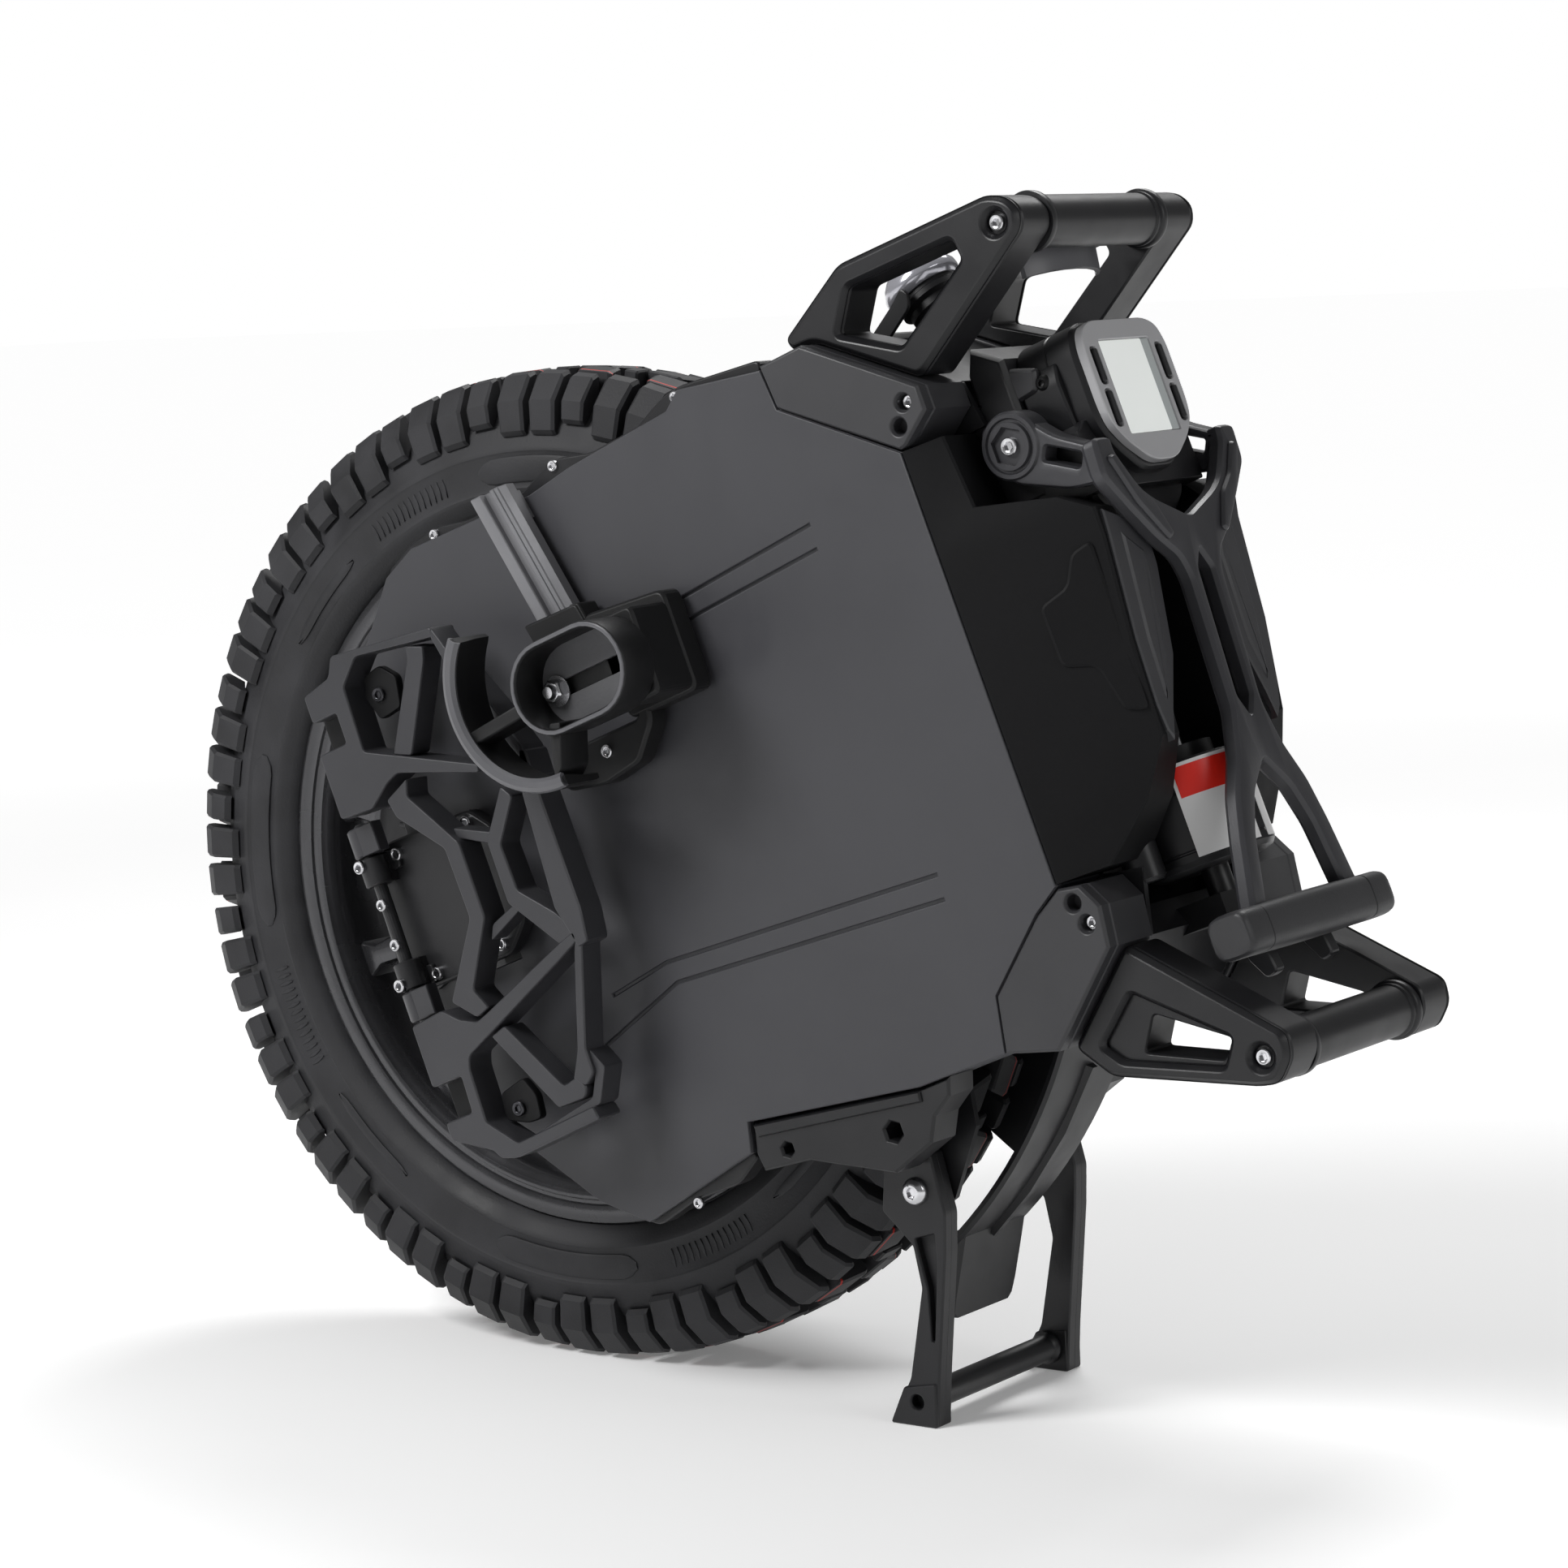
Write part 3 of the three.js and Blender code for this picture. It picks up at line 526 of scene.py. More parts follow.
def wall_patch(start, end, inner, outer, steps, lift=0.9):
    """A raised plate on the tyre's side wall, with round ends."""
    rings = []
    for i in range(steps + 1):
        share = i / steps
        edge = min(share, 1 - share) * steps / 2.5
        squeeze = sqrt(max(0.08, 1 - max(0, 1 - edge) ** 2))
        middle, half = (inner + outer) / 2, (outer - inner) / 2 * squeeze
        angle = radians(start + (end - start) * share)
        low, high = middle - half, middle + half
        section = [(low, 43), (low, 44.9), (low + 1.2, 44.6 + lift), (high - 1.2, 44.6 + lift), (high, 44.9),
            (high, 43)]
        rings.append([around((0, 0), radius, y, angle) for radius, y in section])
    return skin(rings)


for start in (10, 100, 190, 280):
    tyre_solids += both(wall_patch(start, start + 26, 234, 249, 20))
    tyre_solids += both(wall_patch(start + 45, start + 62, 236, 242, 12))
    for k in range(14):
        tyre_solids += both(wall_patch(start + 68 + k * 1.15, start + 68.5 + k * 1.15, 234, 248, 3, 0.5))
piece("tyre_carcass", tyre_solids, tyre_rubber, "tyre", body="wheel", slot="tyre_rubber", smooth=radians(32))
piece("tyre_knobs", knob_solids, tyre_rubber, body="wheel", slot="tyre_rubber", smooth=radians(12))

# Rim and motor
rim_profile = [(190, 0), (190, 12), (191, 24), (193, 30), (196, 33), (198, 35.6), (200, 36.4), (202, 36.2),
    (203, 34.8), (205, 34.8), (206, 36.2), (209, 36.9), (214, 36.9), (216.2, 36.2), (216.8, 35.2),
    (216.6, 33.7), (206, 33.6), (204.6, 28), (204.4, 0)]
rim_solids = [turned(mirrored(rim_profile), 120, wrap=True)]
hub_ring = [(160, 21), (161, 22.4), (165, 22.4), (167.4, 20), (167.4, 0), (160, 0)]
hub_ring += [(radius, -y) for radius, y in reversed(hub_ring[:-2])]
rim_solids.append(turned(hub_ring, 96, wrap=True))
SPOKES = 12
for i in range(SPOKES):
    spoke = plate([(164, -8), (180, -7), (193, -13), (193, 13), (180, 7), (164, 8)], -22, 22, edge=2.2,
        soft=0.8)
    rim_solids.append(moved(spoke, Matrix.Rotation(2 * pi * i / SPOKES, 4, "Y")))
piece("wheel_rim", rim_solids, rim_black, "rim", body="wheel", slot="rim_alloy", smooth=radians(30))

motor_profile = [(11, 36), (20, 38), (60, 39.6), (62, 39), (64, 36.6), (72, 35.4), (74, 35.8), (96, 34),
    (98, 32.4), (138, 29.8), (141, 30.6), (156, 27.6), (159.5, 24), (159.5, 0)]
motor_solids = [turned(mirrored(motor_profile), 96, wrap=True)]
MOTOR_RIBS, MOTOR_BOLTS = 24, 16
for i in range(MOTOR_RIBS):
    rib = plate([(100, -1.3), (136, -1.3), (136, 1.3), (100, 1.3)], 28, 33.4, edge=0.6)
    motor_solids += both(moved(rib, Matrix.Rotation(2 * pi * i / MOTOR_RIBS, 4, "Y")))
piece("hub_motor_case", motor_solids, motor_black, "hub_motor", body="wheel", slot="motor_alloy",
    smooth=ROUND)
motor_bolts = []
for i in range(MOTOR_BOLTS):
    angle = 2 * pi * (i + 0.5) / MOTOR_BOLTS
    motor_bolts += both(socket_bolt((149 * cos(angle), 149 * sin(angle)), 27, 3.2, 3.2))
piece("hub_motor_bolts", motor_bolts, dark_steel, body="wheel", slot="bolt_steel", smooth=ROUND)

# Hangers
HINGE_Y, HINGE_Z = 130, -62
hanger_face = rounded([(45, 12), (47, -56), (40, -78), (-38, -78), (-43, -64), (-43, 8), (-28, 26), (30, 26)],
    5)
hanger_solids = [
    plate(hanger_face, 108.3, 120, edge=1.6),
    slab([(41, -48), (44, -68), (36, -79), (30, -79), (30, -48)], 2, 119, 123.4, edge=0.8),
    slab([(-30, -50), (-30, -79), (-36, -79), (-43, -66), (-40, -50)], 2, 119, 123.4, edge=0.8),
    plate([(-40, -77), (40, -77), (40, -65), (-40, -65)], 64, 111, edge=1.5),
    slab([(-16, -77), (16, -77), (16, 262), (-16, 262)], 3, 63, 75, edge=1.5),
    along_x([(2.8, -62.2), (4, -61), (4, 61), (2.8, 62.2)], 16, HINGE_Y, HINGE_Z),
]
for low, high in ((-41, -24), (24, 41)):
    hanger_solids.append(along_x([(0, low), (7.6, low), (8.4, low + 0.8), (8.4, high - 0.8), (7.6, high),
        (0, high)], 24, HINGE_Y, HINGE_Z))
    lug = [(low, HINGE_Z - 6), (high, HINGE_Z - 6), (high, HINGE_Z + 7), (low, HINGE_Z + 7)]
    hanger_solids.append(plate(lug, 118, HINGE_Y, edge=0.8))
pair("hanger_plate", hanger_solids, cast_dark, "hanger_SIDE", body="carriage", slot="cast_black")
hanger_bolts = [socket_bolt(spot, 137.6, 3.9, 4.2) for spot in ((37, -64), (-37, -64))]
hanger_bolts += [socket_bolt(spot, 119.6, 3.9, 4.4) for spot in ((38, -49), (-37, -49), (38, 10), (-36, 6))]
hanger_bolts += [socket_bolt(spot, 133, 3.6, 3) for spot in ((12, -62), (-13, -62))]
screws("hanger_bolt_heads", hanger_bolts, body="carriage")

# Pedals: the underside is a lattice of deep bars
pedal_plates = [
    ([(157, -24), (146, 56), (140, 55), (150, -6), (137, -22), (97, -23), (62, 56), (57, 55), (77, -4),
        (74, -14), (64, -31), (66, -57), (106, -57), (106, -34), (125, -34), (125, -54), (142, -54),
        (146, -31)], 129, 150),
    ([(-63, -57), (-61, -31), (-70, -20), (-75, -8), (-72, 3), (-51, 71), (-48, 83), (-54, 83), (-60, 68),
        (-81, 9), (-92, -22), (-99, -25), (-131, -26), (-149, -8), (-145, 54), (-153, 56), (-157, -12),
        (-154, -24), (-148, -28), (-134, -56), (-123, -56), (-123, -34), (-101, -33), (-101, -57)], 129, 150),
    ([(138, 45), (130, 42), (83, 10), (88, -3), (136, 31), (143, 32)], 132, 149),
    ([(72, 2), (62, -2), (25, 24), (-21, 24), (-57, -2), (-70, 5), (-73, -6), (-59, -21), (-18, 13), (25, 12),
        (53, -15), (65, -18)], 131, 150.6),
    ([(45, 66), (37, 72), (14, 52), (-14, 53), (-34, 74), (-48, 84), (-54, 71), (-19, 43), (19, 43)], 131,
        149.4),
    ([(60, 88), (36, 80), (-32, 75), (-46, 79), (-58, 82), (-57, 90), (-38, 93), (30, 92), (58, 93)], 130,
        150),
    ([(35, 19), (23, 47), (17, 43), (28, 20)], 132, 146),
    ([(-26, 24), (-20, 45), (-24, 49), (-35, 19)], 132, 146),
    ([(-86, -2), (-83, 10), (-128, 38), (-126, 48), (-133, 54), (-139, 50), (-139, 29)], 132, 149),
    ([(-48, 91), (-49, 83), (-58, 78), (-112, 56), (-127, 46), (-133, 54), (-127, 62), (-113, 62), (-56, 85)],
        131, 149),
    ([(-113, 62), (-126, 69), (-145, 57), (-156, -10), (-150, -10), (-140, 53), (-127, 61)], 129, 146),
    ([(146, 56), (141, 53), (120, 58), (90, 70), (58, 84), (42, 88), (41, 93), (60, 92), (90, 80), (120, 66)],
        131, 150),
]
pedal_solids = [plate(rounded(outline, 2.2, 3), low, high, edge=0.9, soft=0.45)
                for outline, low, high in pedal_plates]
for centre_x in (51, -51):
    low, high = centre_x - 9, centre_x + 9
    pedal_solids.append(along_x([(0, low), (8, low), (9, low + 1), (9, high - 1), (8, high), (0, high)], 28,
        HINGE_Y, HINGE_Z))
    lug = [(low, HINGE_Z), (high, HINGE_Z), (high, HINGE_Z + 16), (low, HINGE_Z + 16)]
    pedal_solids.append(plate(lug, HINGE_Y - 1, HINGE_Y + 8.5, edge=0.8))
pair("pedal_lattice", pedal_solids, cast_grey, "pedal_SIDE", body="pedal_SIDE", slot="cast_black")
pedal_pads_and_shaded_notches = [
    slab([(140, -16), (128, -20), (112, -14), (114, 4), (132, 8), (142, -2)], 3, 131, 137, edge=0.8),
    slab([(-140, -6), (-134, -22), (-118, -20), (-114, 0), (-126, 6), (-140, 4)], 3, 131, 137, edge=0.8),
]
# The two notch floors are deep black as painted shade: they stand for the dark recess in the pedal's notches.
pedal_pads_and_shaded_notches += [plate([(low, -56), (high, -56), (high, -33), (low, -33)], 130, 138, edge=0.6)
                 for low, high in ((105, 126), (-124, -100))]
pair("pedal_corner_pads", pedal_pads_and_shaded_notches, deep_black, body="pedal_SIDE", slot="cast_black")
pedal_screws = [socket_bolt((126, -8), 137, 4.4, 2.4), socket_bolt((-130, -9), 137, 4.4, 2.4)]
screws("pedal_screws", pedal_screws, finish=dark_steel, body="pedal_SIDE")

# Side panels
PANEL = [
    (126, 371), (178, 304), (202, 302), (214, 244), (206, 232), (203, 154), (199, 120), (203, 23), (194, -2),
    (150, -47), (46, -52), (46, 2), (-46, 2), (-46, -52), (-143, -47), (-196, -2), (-217, 28), (-200, 116),
    (-183, 121), (-198, 242), (-197, 304), (-166, 311), (-133, 353), (-123, 371),
]
GROOVES = [
    [(103, 148), (112, 299)], [(92, 168), (98, 298)],
    [(-87, 58), (-81, 103), (-93, 301)], [(-113, 39), (-94, 106), (-107, 300)],
]
groove_holes = [strip(path, 1.7) for path in GROOVES]
pair("side_panel_shell", [
    plate(PANEL, 98.6, 103.2, edge=0.4),
    plate(PANEL, 102.8, 105, groove_holes, edge=0.8, soft=0.4),
], panel_grey, "side_panel_SIDE", slot="panel_paint")

# Wavy liner along the panel's front edge, with its screws, and the dark border strips near the wheel.
liner_front = rounded([
    (198, -4), (207, 20), (209, 44), (204, 66), (203, 110), (209, 128), (212, 146), (206, 168), (207, 205),
    (215, 226), (217, 242), (209, 300), (200, 298), (204, 240), (198, 150), (196, 60), (190, 0),
], 5)
liner_rear = rounded([(-150, -46), (-199, 0), (-221, 30), (-214, 62), (-214, 96), (-203, 116), (-196, 112),
    (-206, 60), (-210, 30), (-190, 0), (-146, -40)], 5)
pair("panel_liner", [
    plate(liner_front, 84, 99.5, edge=1.2),
    plate(liner_rear, 84, 99.5, edge=1.2),
], satin_black)
liner_screws = [socket_bolt(spot, 99, 3.4, 2.2) for spot in ((212, 238), (209, 140), (205, 40), (-216, 64))]
screws("panel_liner_screws", liner_screws)

front_corner = [(127.4, 371.8), (178.4, 304.8), (204, 302.8), (204, 333), (155, 396), (141, 396), (128, 376)]
front_holes = [circle((150, 384), 4.5), circle((139, 376.5), 4.5)]
rear_corner = [(-124.6, 371.8), (-134, 353.6), (-166.6, 311.8), (-197.4, 304.8), (-206, 338), (-163.5, 390.5),
    (-141, 394), (-127, 386)]
rear_holes = [circle((-134.5, 378.5), 4.5), circle((-147.5, 382.5), 4.5)]
for label, outline, holes, screw in (("front", front_corner, front_holes, (150, 384)),
                                     ("rear", rear_corner, rear_holes, (-147.5, 382.5))):
    solids = [plate(outline, 60.4, 97), plate(outline, 96, 106.5, holes, edge=1.8, soft=0.6)]
    pair(f"corner_{label}", solids, corner_grey, f"corner_block_{label}_SIDE")
    screws(f"corner_{label}_screw", [socket_bolt(screw, 96.8, 3.9, 4)])

# Lower guard, fenders
guard = [(-201, 117.5), (-184.4, 122.4), (-199, 242), (-198, 262), (-208, 258), (-216, 244), (-229, 236),
    (-238, 206), (-215, 152), (-212, 119)]
guard_holes = [arc((-216, 214), 6, 0, 300, 5), arc((-205, 140), 4, 0, 300, 5)]
guard_lip = [(-185.5, 123), (-200, 241), (-206, 240), (-193, 124)]
pair("lower_guard_shell", [
    plate(guard, 77.2, 103, guard_holes, edge=1.6, soft=0.5),
    plate(guard_lip, 101, 105, edge=1.2),
], satin_black, "lower_guard_SIDE")

WELL, WELL_RADIUS = (0, 60), 306
nose = [(206.6, 300), (216, 302), (217, 310), (207, 313)]
piece("front_fender_lip", [slab(nose, 2, -59, 59, edge=2, soft=0.6)], satin_black, "front_fender")


def flap(start, end, half_start, half_end, thickness, steps=14):
    """The mudguard's curved strip behind the tyre, with its half widths at both ends."""
    rings = []
    for i in range(steps + 1):
        half = half_start + (half_end - half_start) * i / steps
        section = [(0, -half), (0, half), (0.6, half + 1), (1, half - 1), (1, -half + 1), (0.6, -half - 1)]
        angle = radians(start + (end - start) * i / steps)
        rings.append([around(WELL, WELL_RADIUS + thickness * rise, y, angle) for rise, y in section])
    return skin(rings)


tail = [[(x - up * 2.2, half * across, z + up * 3.2)
         for across, up in ((-1, -1), (1, -1), (1, 0.6), (0.94, 1), (-0.94, 1), (-1, 0.6))]
        for x, z, half in ((-282, 182, 33), (-296, 173, 33), (-314, 161, 33), (-322, 155.6, 32),
                           (-325, 154, 28))]
spine = [[around(WELL, WELL_RADIUS + 3 + rise, y, radians(angle))
          for rise, y in ((0, -5), (0, 5), (6, 2.4), (6, -2.4))]
         for angle in (134, 142, 150, 157)]
piece("mudguard_flap", [flap(131, 158, 36, 34, 5), skin(tail), skin(spine)], satin_black, "rear_mudguard")

# Deck
DECK_SIDE, DECK_FOOT = 104.6, 372
# Sections along the deck: X, then the Y and Z of the ridge and of the inner edge.
DECK = [
    (-122, 88, 398, 46, 396), (-96, 74, 424, 44, 422), (-66, 66, 442, 42, 438), (-14, 72, 448, 43, 443),
    (44, 72, 454, 44, 449), (60, 75, 456, 46, 450), (72, 80, 440, 56.4, 436), (84, 92, 396, 56.4, 394),
    (126, 95, 394, 60.4, 392),
]
deck_rings = [
    [(x, DECK_SIDE, DECK_FOOT), (x, DECK_SIDE - 0.6, DECK_FOOT + 1.6), (x, ridge_y + 0.5, ridge_z - 1.2),
     (x, ridge_y - 0.9, ridge_z), (x, inner_y, inner_z), (x, inner_y, DECK_FOOT)]
    for x, ridge_y, ridge_z, inner_y, inner_z in DECK
]
# The slope's own black, with painted shade in its colour.
pair("deck_shell", [skin(deck_rings)], deck_black_and_painted_shade, "deck_cover_SIDE")


def on_deck(points, lift):
    """Points given in X and Y, laid on the deck's sloping top."""
    return [(x, y, 442 + (x + 66) * 0.111 + lift) for x, y in points]


top_outline = [(58, 70), (44, 69), (-14, 69), (-50, 65), (-64, 61), (-70, 56), (-54, 50), (-25, 36), (24, 29),
    (36, 30), (52, 50)]
crease = [(48, 60), (-14, 61), (-46, 58), (-52, 54), (-25, 42), (24, 36), (34, 38)]
top_loop, crease_loop = wound(top_outline, True), wound(crease, True)
pair("deck_top_plate", [
    skin([
        on_deck(top_loop, -4),
        on_deck(top_loop, 0.7),
        on_deck(inset(top_loop, 1.0), 1.6),
    ]),
    skin([on_deck(crease_loop, 0.5), on_deck(inset(crease_loop, 4), 2.6)]),
], deck_grey)

# The charge port's rubber plug lies on the left slope.
PORT = rounded([(44, 447), (41, 435), (25, 427), (20, 411), (-14, 411), (-20, 427), (-47, 431), (-51, 442)],
    4)


def on_slope(x, z, lift):
    """A point of the left side slope, lifted off it."""
    for (x_low, *low), (x_high, *high) in zip(DECK, DECK[1:]):
        if x_low <= x <= x_high:
            share = (x - x_low) / (x_high - x_low)
            ridge_y, ridge_z = (a + (b - a) * share for a, b in zip(low[:2], high))
    y = DECK_SIDE + (ridge_y - DECK_SIDE) * (z - DECK_FOOT) / (ridge_z - DECK_FOOT)
    return (x, y + lift * 0.9, z + lift * 0.4)


port_loop = wound(PORT, True)
port_rings = [[on_slope(x, z, -2) for x, z in port_loop], [on_slope(x, z, 1.2) for x, z in port_loop],
    [on_slope(p.x, p.y, 2.2) for p in inset(port_loop, 1.4)]]
# The plug on the slope takes the slope's black, with its painted shade.
piece("charge_port_plug", [skin(port_rings)], deck_black_and_painted_shade, "charge_port_cover", slot="soft_rubber")

controller = [(78, 376), (78, 420), (158, 420), (171, 402), (157, 395.5), (140, 395.5), (132, 376)]
piece("controller_case", [plate(controller, -55.4, 55.4, edge=3, soft=1)], satin_black, "controller_box")

# Handles
front_arm = [(160.8, 390.8), (205, 333.4), (206, 318), (214, 315), (238, 364), (234, 468), (228, 479),
    (219, 484), (209, 481)]
front_window = [(224, 366), (221, 438), (209, 440), (181, 386), (203, 350)]
rear_arm = [(-164, 391.2), (-206.6, 338.6), (-228, 355), (-259, 440), (-261, 452), (-250, 464), (-237, 466)]
rear_window = [(-190, 384), (-211, 357), (-222, 366), (-243, 424), (-230, 434)]
rear_window_back = [(-204, 391), (-222, 378), (-240, 424), (-230, 432)]
for label, outline, window, window_back, tip in (
        ("front", front_arm, front_window, front_window, (218, 468)),
        ("rear", rear_arm, rear_window, rear_window_back, (-245, 448))):
    hole = circle(tip, 6.2)
    solids = [
        slab(outline, 5, 60.4, 88, [rounded(window_back, 3)], edge=1.2),
        slab(outline, 5, 86, 93, [rounded(window, 3), hole], edge=3.6, soft=0.8),
    ]
    pair(f"arm_{label}", solids, satin_black, f"handle_arm_{label}_SIDE")
    screws(f"arm_{label}_bolt", [socket_bolt(tip, 87.6, 4.4, 3.6)])
bar_profile = [
    (0, 60), (16.4, 60), (16.8, 59), (16.8, 56), (16, 55), (15.4, 54.6), (15.4, 52), (14.4, 51), (14.4, 0),
]
for label, centre in (("front", (218, 468)), ("rear", (-244, 447))):
    piece(f"bar_{label}", [turned(mirrored(bar_profile), 64, centre)], satin_black, f"handle_bar_{label}",
        smooth=ROUND)

# Headlight
LAMP = Matrix.Translation((222, 0, 356)) @ Matrix.Rotation(radians(18), 4, "Y")


def lamp(profile):
    return moved(along_x(profile, 56), LAMP)


piece("lamp_body", [lamp([(0, -14), (15, -14), (17, -12), (17, -8), (20, -6), (20, -3), (18.6, -2), (18.6, 0),
    (19, 0.2), (0, 0.2)])], satin_black, "headlight_body", body="headlight", smooth=ROUND)
lens_solids = [lamp([(0, 0.4), (20, 0.4), (22.8, 3), (23.4, 5), (23.2, 8), (20.4, 13.4), (17.6, 16.4),
    (16.4, 16), (15.8, 14.4), (0, 13.6)])]
for angle in range(0, 360, 60):
    spin = Matrix.Rotation(radians(angle), 4, "X")
    bead = moved(along_x([(0, 13), (3.4, 13), (3.2, 14.6), (1.8, 15.4), (0, 15.6)], 20, 9, 0), spin)
    lens_solids.append(moved(bead, LAMP))
piece("lamp_lens", lens_solids, lens_ring, "headlight_lens", body="headlight", slot="lens", smooth=ROUND)
ear = rounded([(200.4, 322), (206, 322), (220, 348), (226, 356), (221, 360), (213, 357), (200.4, 334)], 3)
lamp_foot = plate([(200.4, 319), (204, 319), (204, 334), (200.4, 334)], -24, 24, edge=0.6)
piece("lamp_bracket", both(plate(ear, 23.6, 26.6, edge=0.8)) + [lamp_foot], satin_black, "headlight_bracket")
visor = []
for angle in range(-64, 65, 16):
    turn_at = radians(angle)
    y, z = 42 * sin(turn_at), 430 + 22 * cos(turn_at)
    visor.append([(196, y, z), (214, y * 1.04, z + 3), (214, y * 1.04, z + 5.4), (196, y, z + 3)])
piece("lamp_visor", [skin(visor)], pad_rim, smooth=ROUND)

# Display
display_plan = mirrored([(76, 15), (90, 33), (102, 43), (112, 45), (146, 45), (158, 41), (163, 30)])
bezel_plan = mirrored([(79, 12), (91, 31), (102, 41), (113, 43), (146, 43), (157, 39), (161.4, 28)])
BUTTONS = [(111, 34), (135.5, 34), (111, -34), (135.5, -34)]


def lozenge(centre, half_x, half_y, radius):
    x, y = centre
    corners = ((-1, -1), (1, -1), (1, 1), (-1, 1))
    return rounded([(x + half_x * across, y + half_y * along) for across, along in corners], radius, 3)


display_cheek = [(84, 30), (100, 47), (134, 50), (146, 46), (140, 30)]
housing_solids = [
    slab(display_plan, 7, 420.4, 440, plane="XY"),
    slab(display_plan, 7, 438, 459, edge=2.4, soft=0.8, plane="XY"),
    *(slab([(x, y * side) for x, y in display_cheek], 4, 421, 446, edge=1.2, plane="XY") for side in (1, -1)),
    slab([(44, -16), (44, 16), (64, 44), (84, 54), (104, 54), (104, -54), (84, -54), (64, -44)], 5, 418, 442,
        edge=2.4, plane="XY"),
    plate([(70, -55), (70, 55), (104, 55), (110, 46), (110, -46), (104, -55)], 411.6, 451, plane="XY"),
]
piece("display_case", housing_solids, satin_black, "display_housing")
bezel_holes = [lozenge((122.4, 0), 27.2, 26.2, 1.5)] + [lozenge(spot, 11, 3.6, 2.8) for spot in BUTTONS]
piece("display_frame", [plate(rounded(bezel_plan, 8, 6), 458.6, 464.5, bezel_holes, edge=0.7, plane="XY")],
    bezel_grey, "display_bezel", slot="bezel")
piece("display_well", [plate(rounded(bezel_plan, 8, 6), 458.2, 459.4, edge=0.4, plane="XY")], deep_black)
piece("display_glass", [plate(lozenge((122.4, 4), 26.9, 21.9, 1.0), 459.6, 464, edge=0.3, plane="XY")],
    screen_glass, "display_screen", slot="screen")
glass_edge = plate(lozenge((122.4, -22), 26.9, 3.9, 0.8), 459.6, 463.8, edge=0.3, plane="XY")
piece("display_glass_edge", [glass_edge], screen_edge, slot="screen")
for i, spot in enumerate(BUTTONS, 1):
    cap = plate(lozenge(spot, 9.8, 2.1, 1.9), 461, 465.4, edge=0.7, soft=0.4, plane="XY")
    piece(f"button_cap_{i}", [cap], satin_black, f"display_button_{i}", body=f"button_{i}")
display_bolts = [domed_bolt((137, 436), 46, 5, 5), domed_bolt((104, 428), 44, 3.4, 4)]
screws("display_side_screws", display_bolts, finish=deep_black)
bracket_wing = rounded([(126, 396), (150, 396), (152, 420), (146, 436), (134, 432), (132, 412)], 3)
pair("display_side_wing", [plate(bracket_wing, 45, 52, edge=2)], deck_grey)

# Trolley
SLOPE = Matrix(((1, 0, 0, 0), (0, 1, 0, 0), (0.06, 0, 1, 458), (0, 0, 0, 1)))
trolley_plan = mirrored([(46, 0), (58, 31), (64, 41), (72, 47.5), (86, 57), (94, 57), (94, 74), (72, 74),
    (53, 56), (36, 38), (24, 21), (12, 16.5), (-62, 15.5), (-86, 24), (-108, 38), (-132, 47), (-177, 60),
    (-177, 45), (-132, 32), (-110, 20), (-92, 0)])
trolley_slot = rounded([(27, 0), (16, -7.5), (-56, -8), (-68, 0), (-56, 8), (16, 7.5)], 2)
trolley_solids = [moved(slab(trolley_plan, 5, -5, 6, [trolley_slot], edge=2.4, soft=0.8, plane="XY"), SLOPE)]
for mirror in (1, -1):
    ridge = [(56, mirror * 37), (66, mirror * 50), (84, mirror * 62), (82, mirror * 69), (56, mirror * 53),
        (33, mirror * 31), (36, mirror * 26)]
    trolley_solids.append(moved(slab(ridge, 3, 4, 9, edge=1.8, soft=0.6, plane="XY"), SLOPE))
TROLLEY_PIVOT = (109, 418)
cheek = rounded([(70, 466), (90, 467), (104, 446), (128, 424), (124, 402), (104, 398), (88, 414), (74, 444)],
    5)
cheek_slot = rounded([(101.5, 438), (89.5, 458), (82.5, 454), (94.5, 434)], 2)
cheek_boss = [(0, 57), (18, 57), (19, 58), (19, 72), (17.6, 74), (15.4, 74), (14.6, 72.8), (13.6, 72.8),
    (13, 75), (11.4, 75), (11, 72), (0, 72)]
trolley_solids += both(plate(cheek, 57, 72.6, [cheek_slot], edge=2, soft=0.7),
                       turned(cheek_boss, 48, TROLLEY_PIVOT, hexed=(9, 10)))
piece("trolley_arm", trolley_solids, cast_grey, "trolley_frame", body="trolley", slot="cast_black",
    smooth=radians(24))
screws("trolley_pivot_screw", [socket_bolt(TROLLEY_PIVOT, 72.2, 5, 3.2)], "trolley_bolt_SIDE")

GRIP_HALF_X, GRIP_HALF_Z, GRIP_SQUARENESS = 12.6, 13.4, 0.55
grip_rings = []
grip_stations = [(-80, 0.84), (-78.6, 0.95), (-75, 1.0), (-58, 1.0), (-57.6, 0.96), (-57, 0.96), (-56.6, 1.0),
    (-30, 1.03), (0, 1.04)]
grip_stations += [(-y, scale) for y, scale in reversed(grip_stations[:-1])]
for y, scale in grip_stations:
    ring = []
    for k in range(32):
        angle = 2 * pi * k / 32
        c, s = cos(angle), sin(angle)
        u = copysign(abs(c) ** GRIP_SQUARENESS, c) * GRIP_HALF_X * scale
        v = copysign(abs(s) ** GRIP_SQUARENESS, s) * GRIP_HALF_Z * scale
        ring.append((-180 + u, y, 447 + v))
    grip_rings.append(ring)
piece("trolley_grip_cover", [skin(grip_rings)], grip_rubber, "trolley_grip", body="trolley",
    slot="soft_rubber", smooth=ROUND)
hook = [(-170, 436), (-170, 424), (-192, 420), (-206, 428), (-204, 436), (-190, 434)]
hooks = [slab(hook, 3, y - 5, y + 5, edge=1.2) for y in (22, -40)]
piece("trolley_hooks", hooks, satin_black, body="trolley", slot="cast_black")

